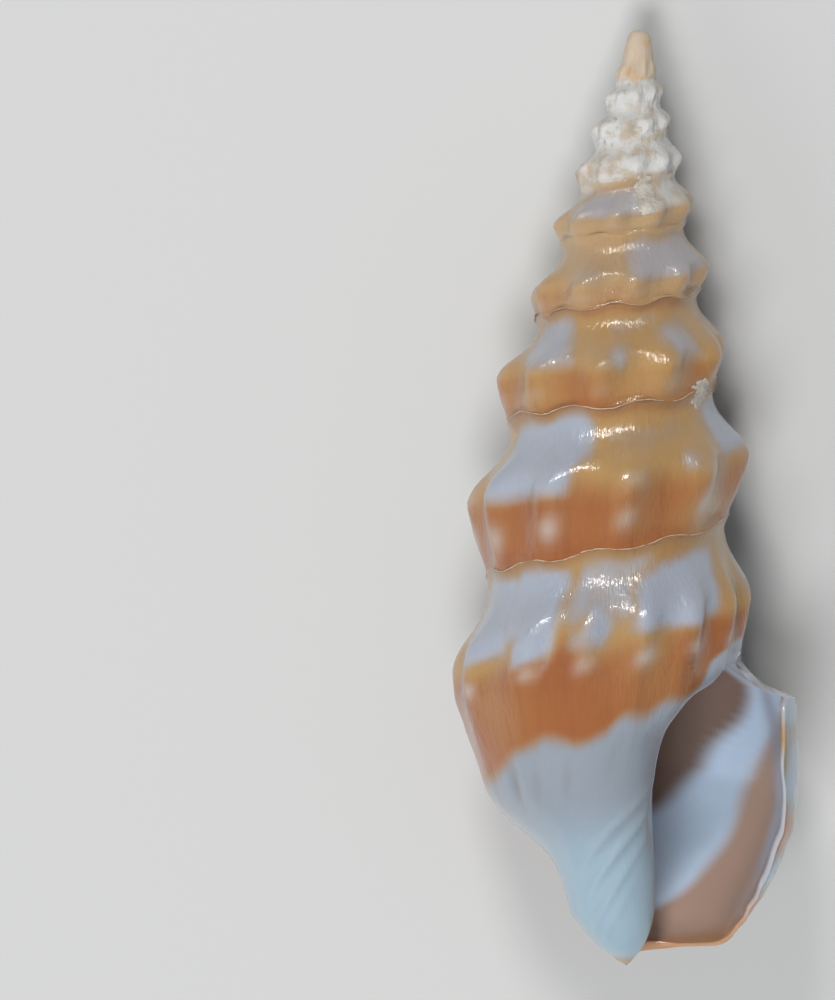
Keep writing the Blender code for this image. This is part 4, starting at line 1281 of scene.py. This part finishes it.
# %% Table and lights
TABLE_HALF = 1.5
TABLE_COLOUR = (0.50, 0.50, 0.49, 1)
SHELL_MIDDLE = Vector((0, 0, 0.003))
LAMP_COLOUR, FILL_COLOUR = (1.0, 0.98, 0.95), (0.97, 0.98, 1.0)
# Name, place, size and power, then the colour and whether the gloss shows it
LIGHTS = (
    ("main light", (-0.06, 0.26, 0.24), 0.07, 0.6, LAMP_COLOUR, True),
    ("front fill", (-0.04, -0.10, 0.35), 0.16, 1.0, FILL_COLOUR, False),
    ("side fill", (-0.20, -0.30, 0.20), 0.25, 0.60, FILL_COLOUR, False),
)
SKY_COLOUR, SKY_STRENGTH = (0.90, 0.94, 1.0, 1), 0.25

table_finish, finish_build, table_shader = new_material("pale table")
finish_build.put(table_shader, "Base Color", TABLE_COLOUR)
finish_build.put(table_shader, "Roughness", 0.75)
table_mesh = bpy.data.meshes.new("table top")
corners = [(TABLE_HALF * x, TABLE_HALF * y, 0) for x, y in ((-1, -1), (1, -1), (1, 1), (-1, 1))]
table_mesh.from_pydata(corners, [], [(0, 1, 2, 3)])
table_mesh.materials.append(table_finish)
table_top = placed("table top", table_mesh)
table_top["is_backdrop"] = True

for name, place, size, power, colour, shows in LIGHTS:
    lamp = bpy.data.lights.new(name, "AREA")
    lamp.size, lamp.energy, lamp.color = size, power, colour
    made = placed(name, lamp)
    made.location = place
    made.rotation_euler = (SHELL_MIDDLE - Vector(place)).to_track_quat("-Z", "Y").to_euler()
    made.visible_glossy = shows
world = bpy.data.worlds.new("pale room")
bpy.context.scene.world = world
world.use_nodes = True
sky = world.node_tree.nodes["Background"]
sky.inputs["Color"].default_value = SKY_COLOUR
sky.inputs["Strength"].default_value = SKY_STRENGTH
bpy.context.scene.view_settings.view_transform = "Standard"
print("lights:", ", ".join(row[0] for row in LIGHTS))

# %% [markdown]
# ## The camera
#
# In the photo the shell is upright and seen square to its mouth. Here it lies down, so the camera
# looks down on it, from the same side and with the same roll. A long lens keeps the outline
# nearly free of perspective. Its distance follows from how many pixels tall the shell is.

# %% Camera: the photo's side of the shell, from above
# The photo's size, and the shell's length and the middle of its axis in it, in pixels
FRAME_WIDTH, FRAME_HEIGHT = 835, 1000
SHELL_PIXELS = 936.1
MIDDLE_X, MIDDLE_Y = 610.6, 497.0
# The slope of the axis in the photo, and the degrees that the apex comes towards the camera
LEAN = 0.063
APEX_NEARER = 3.0
LENS, SENSOR = 400.0, 36.0
NEAR, FAR = 0.01, 10.0
pixel = HEIGHT * MM / SHELL_PIXELS
to_view = Matrix.Rotation(math.atan(LEAN), 3, "Y") @ Matrix.Rotation(math.radians(APEX_NEARER), 3, "X")
lie_down = Matrix(((1, 0, 0), (0, 0, 1), (0, -1, 0)))
stand_to_lie = Matrix.Rotation(-math.radians(TIP), 3, "X") @ lie_down
right, ahead, up = (stand_to_lie @ (to_view.inverted() @ axis) for axis in Matrix.Identity(3))
middle = Vector((SIDE_SHIFT, 0, LIFT)) * MM
distance = LENS / SENSOR * FRAME_HEIGHT * pixel
aside, above = (MIDDLE_X - FRAME_WIDTH / 2) * pixel, (MIDDLE_Y - FRAME_HEIGHT / 2) * pixel
aim = middle - right * aside + up * above
camera = placed("camera", bpy.data.cameras.new("camera"))
camera.data.lens, camera.data.sensor_width = LENS, SENSOR
camera.data.clip_start, camera.data.clip_end = NEAR, FAR
place = middle - ahead * distance
forward = (aim - place).normalized()
across = forward.cross(up).normalized()
turned = Matrix((across, across.cross(forward), -forward)).transposed()
camera.matrix_world = Matrix.Translation(place) @ turned.to_4x4()
bpy.context.scene.camera = camera
print("camera distance, mm:", round(distance / MM))

# %% Finish
low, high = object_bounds()
sizes = {"solid": [list(solid_low), list(solid_high)], "dressed": [list(low), list(high)]}
print("dressed shell, mm:", [round((b - a) / MM, 2) for a, b in zip(low, high)])
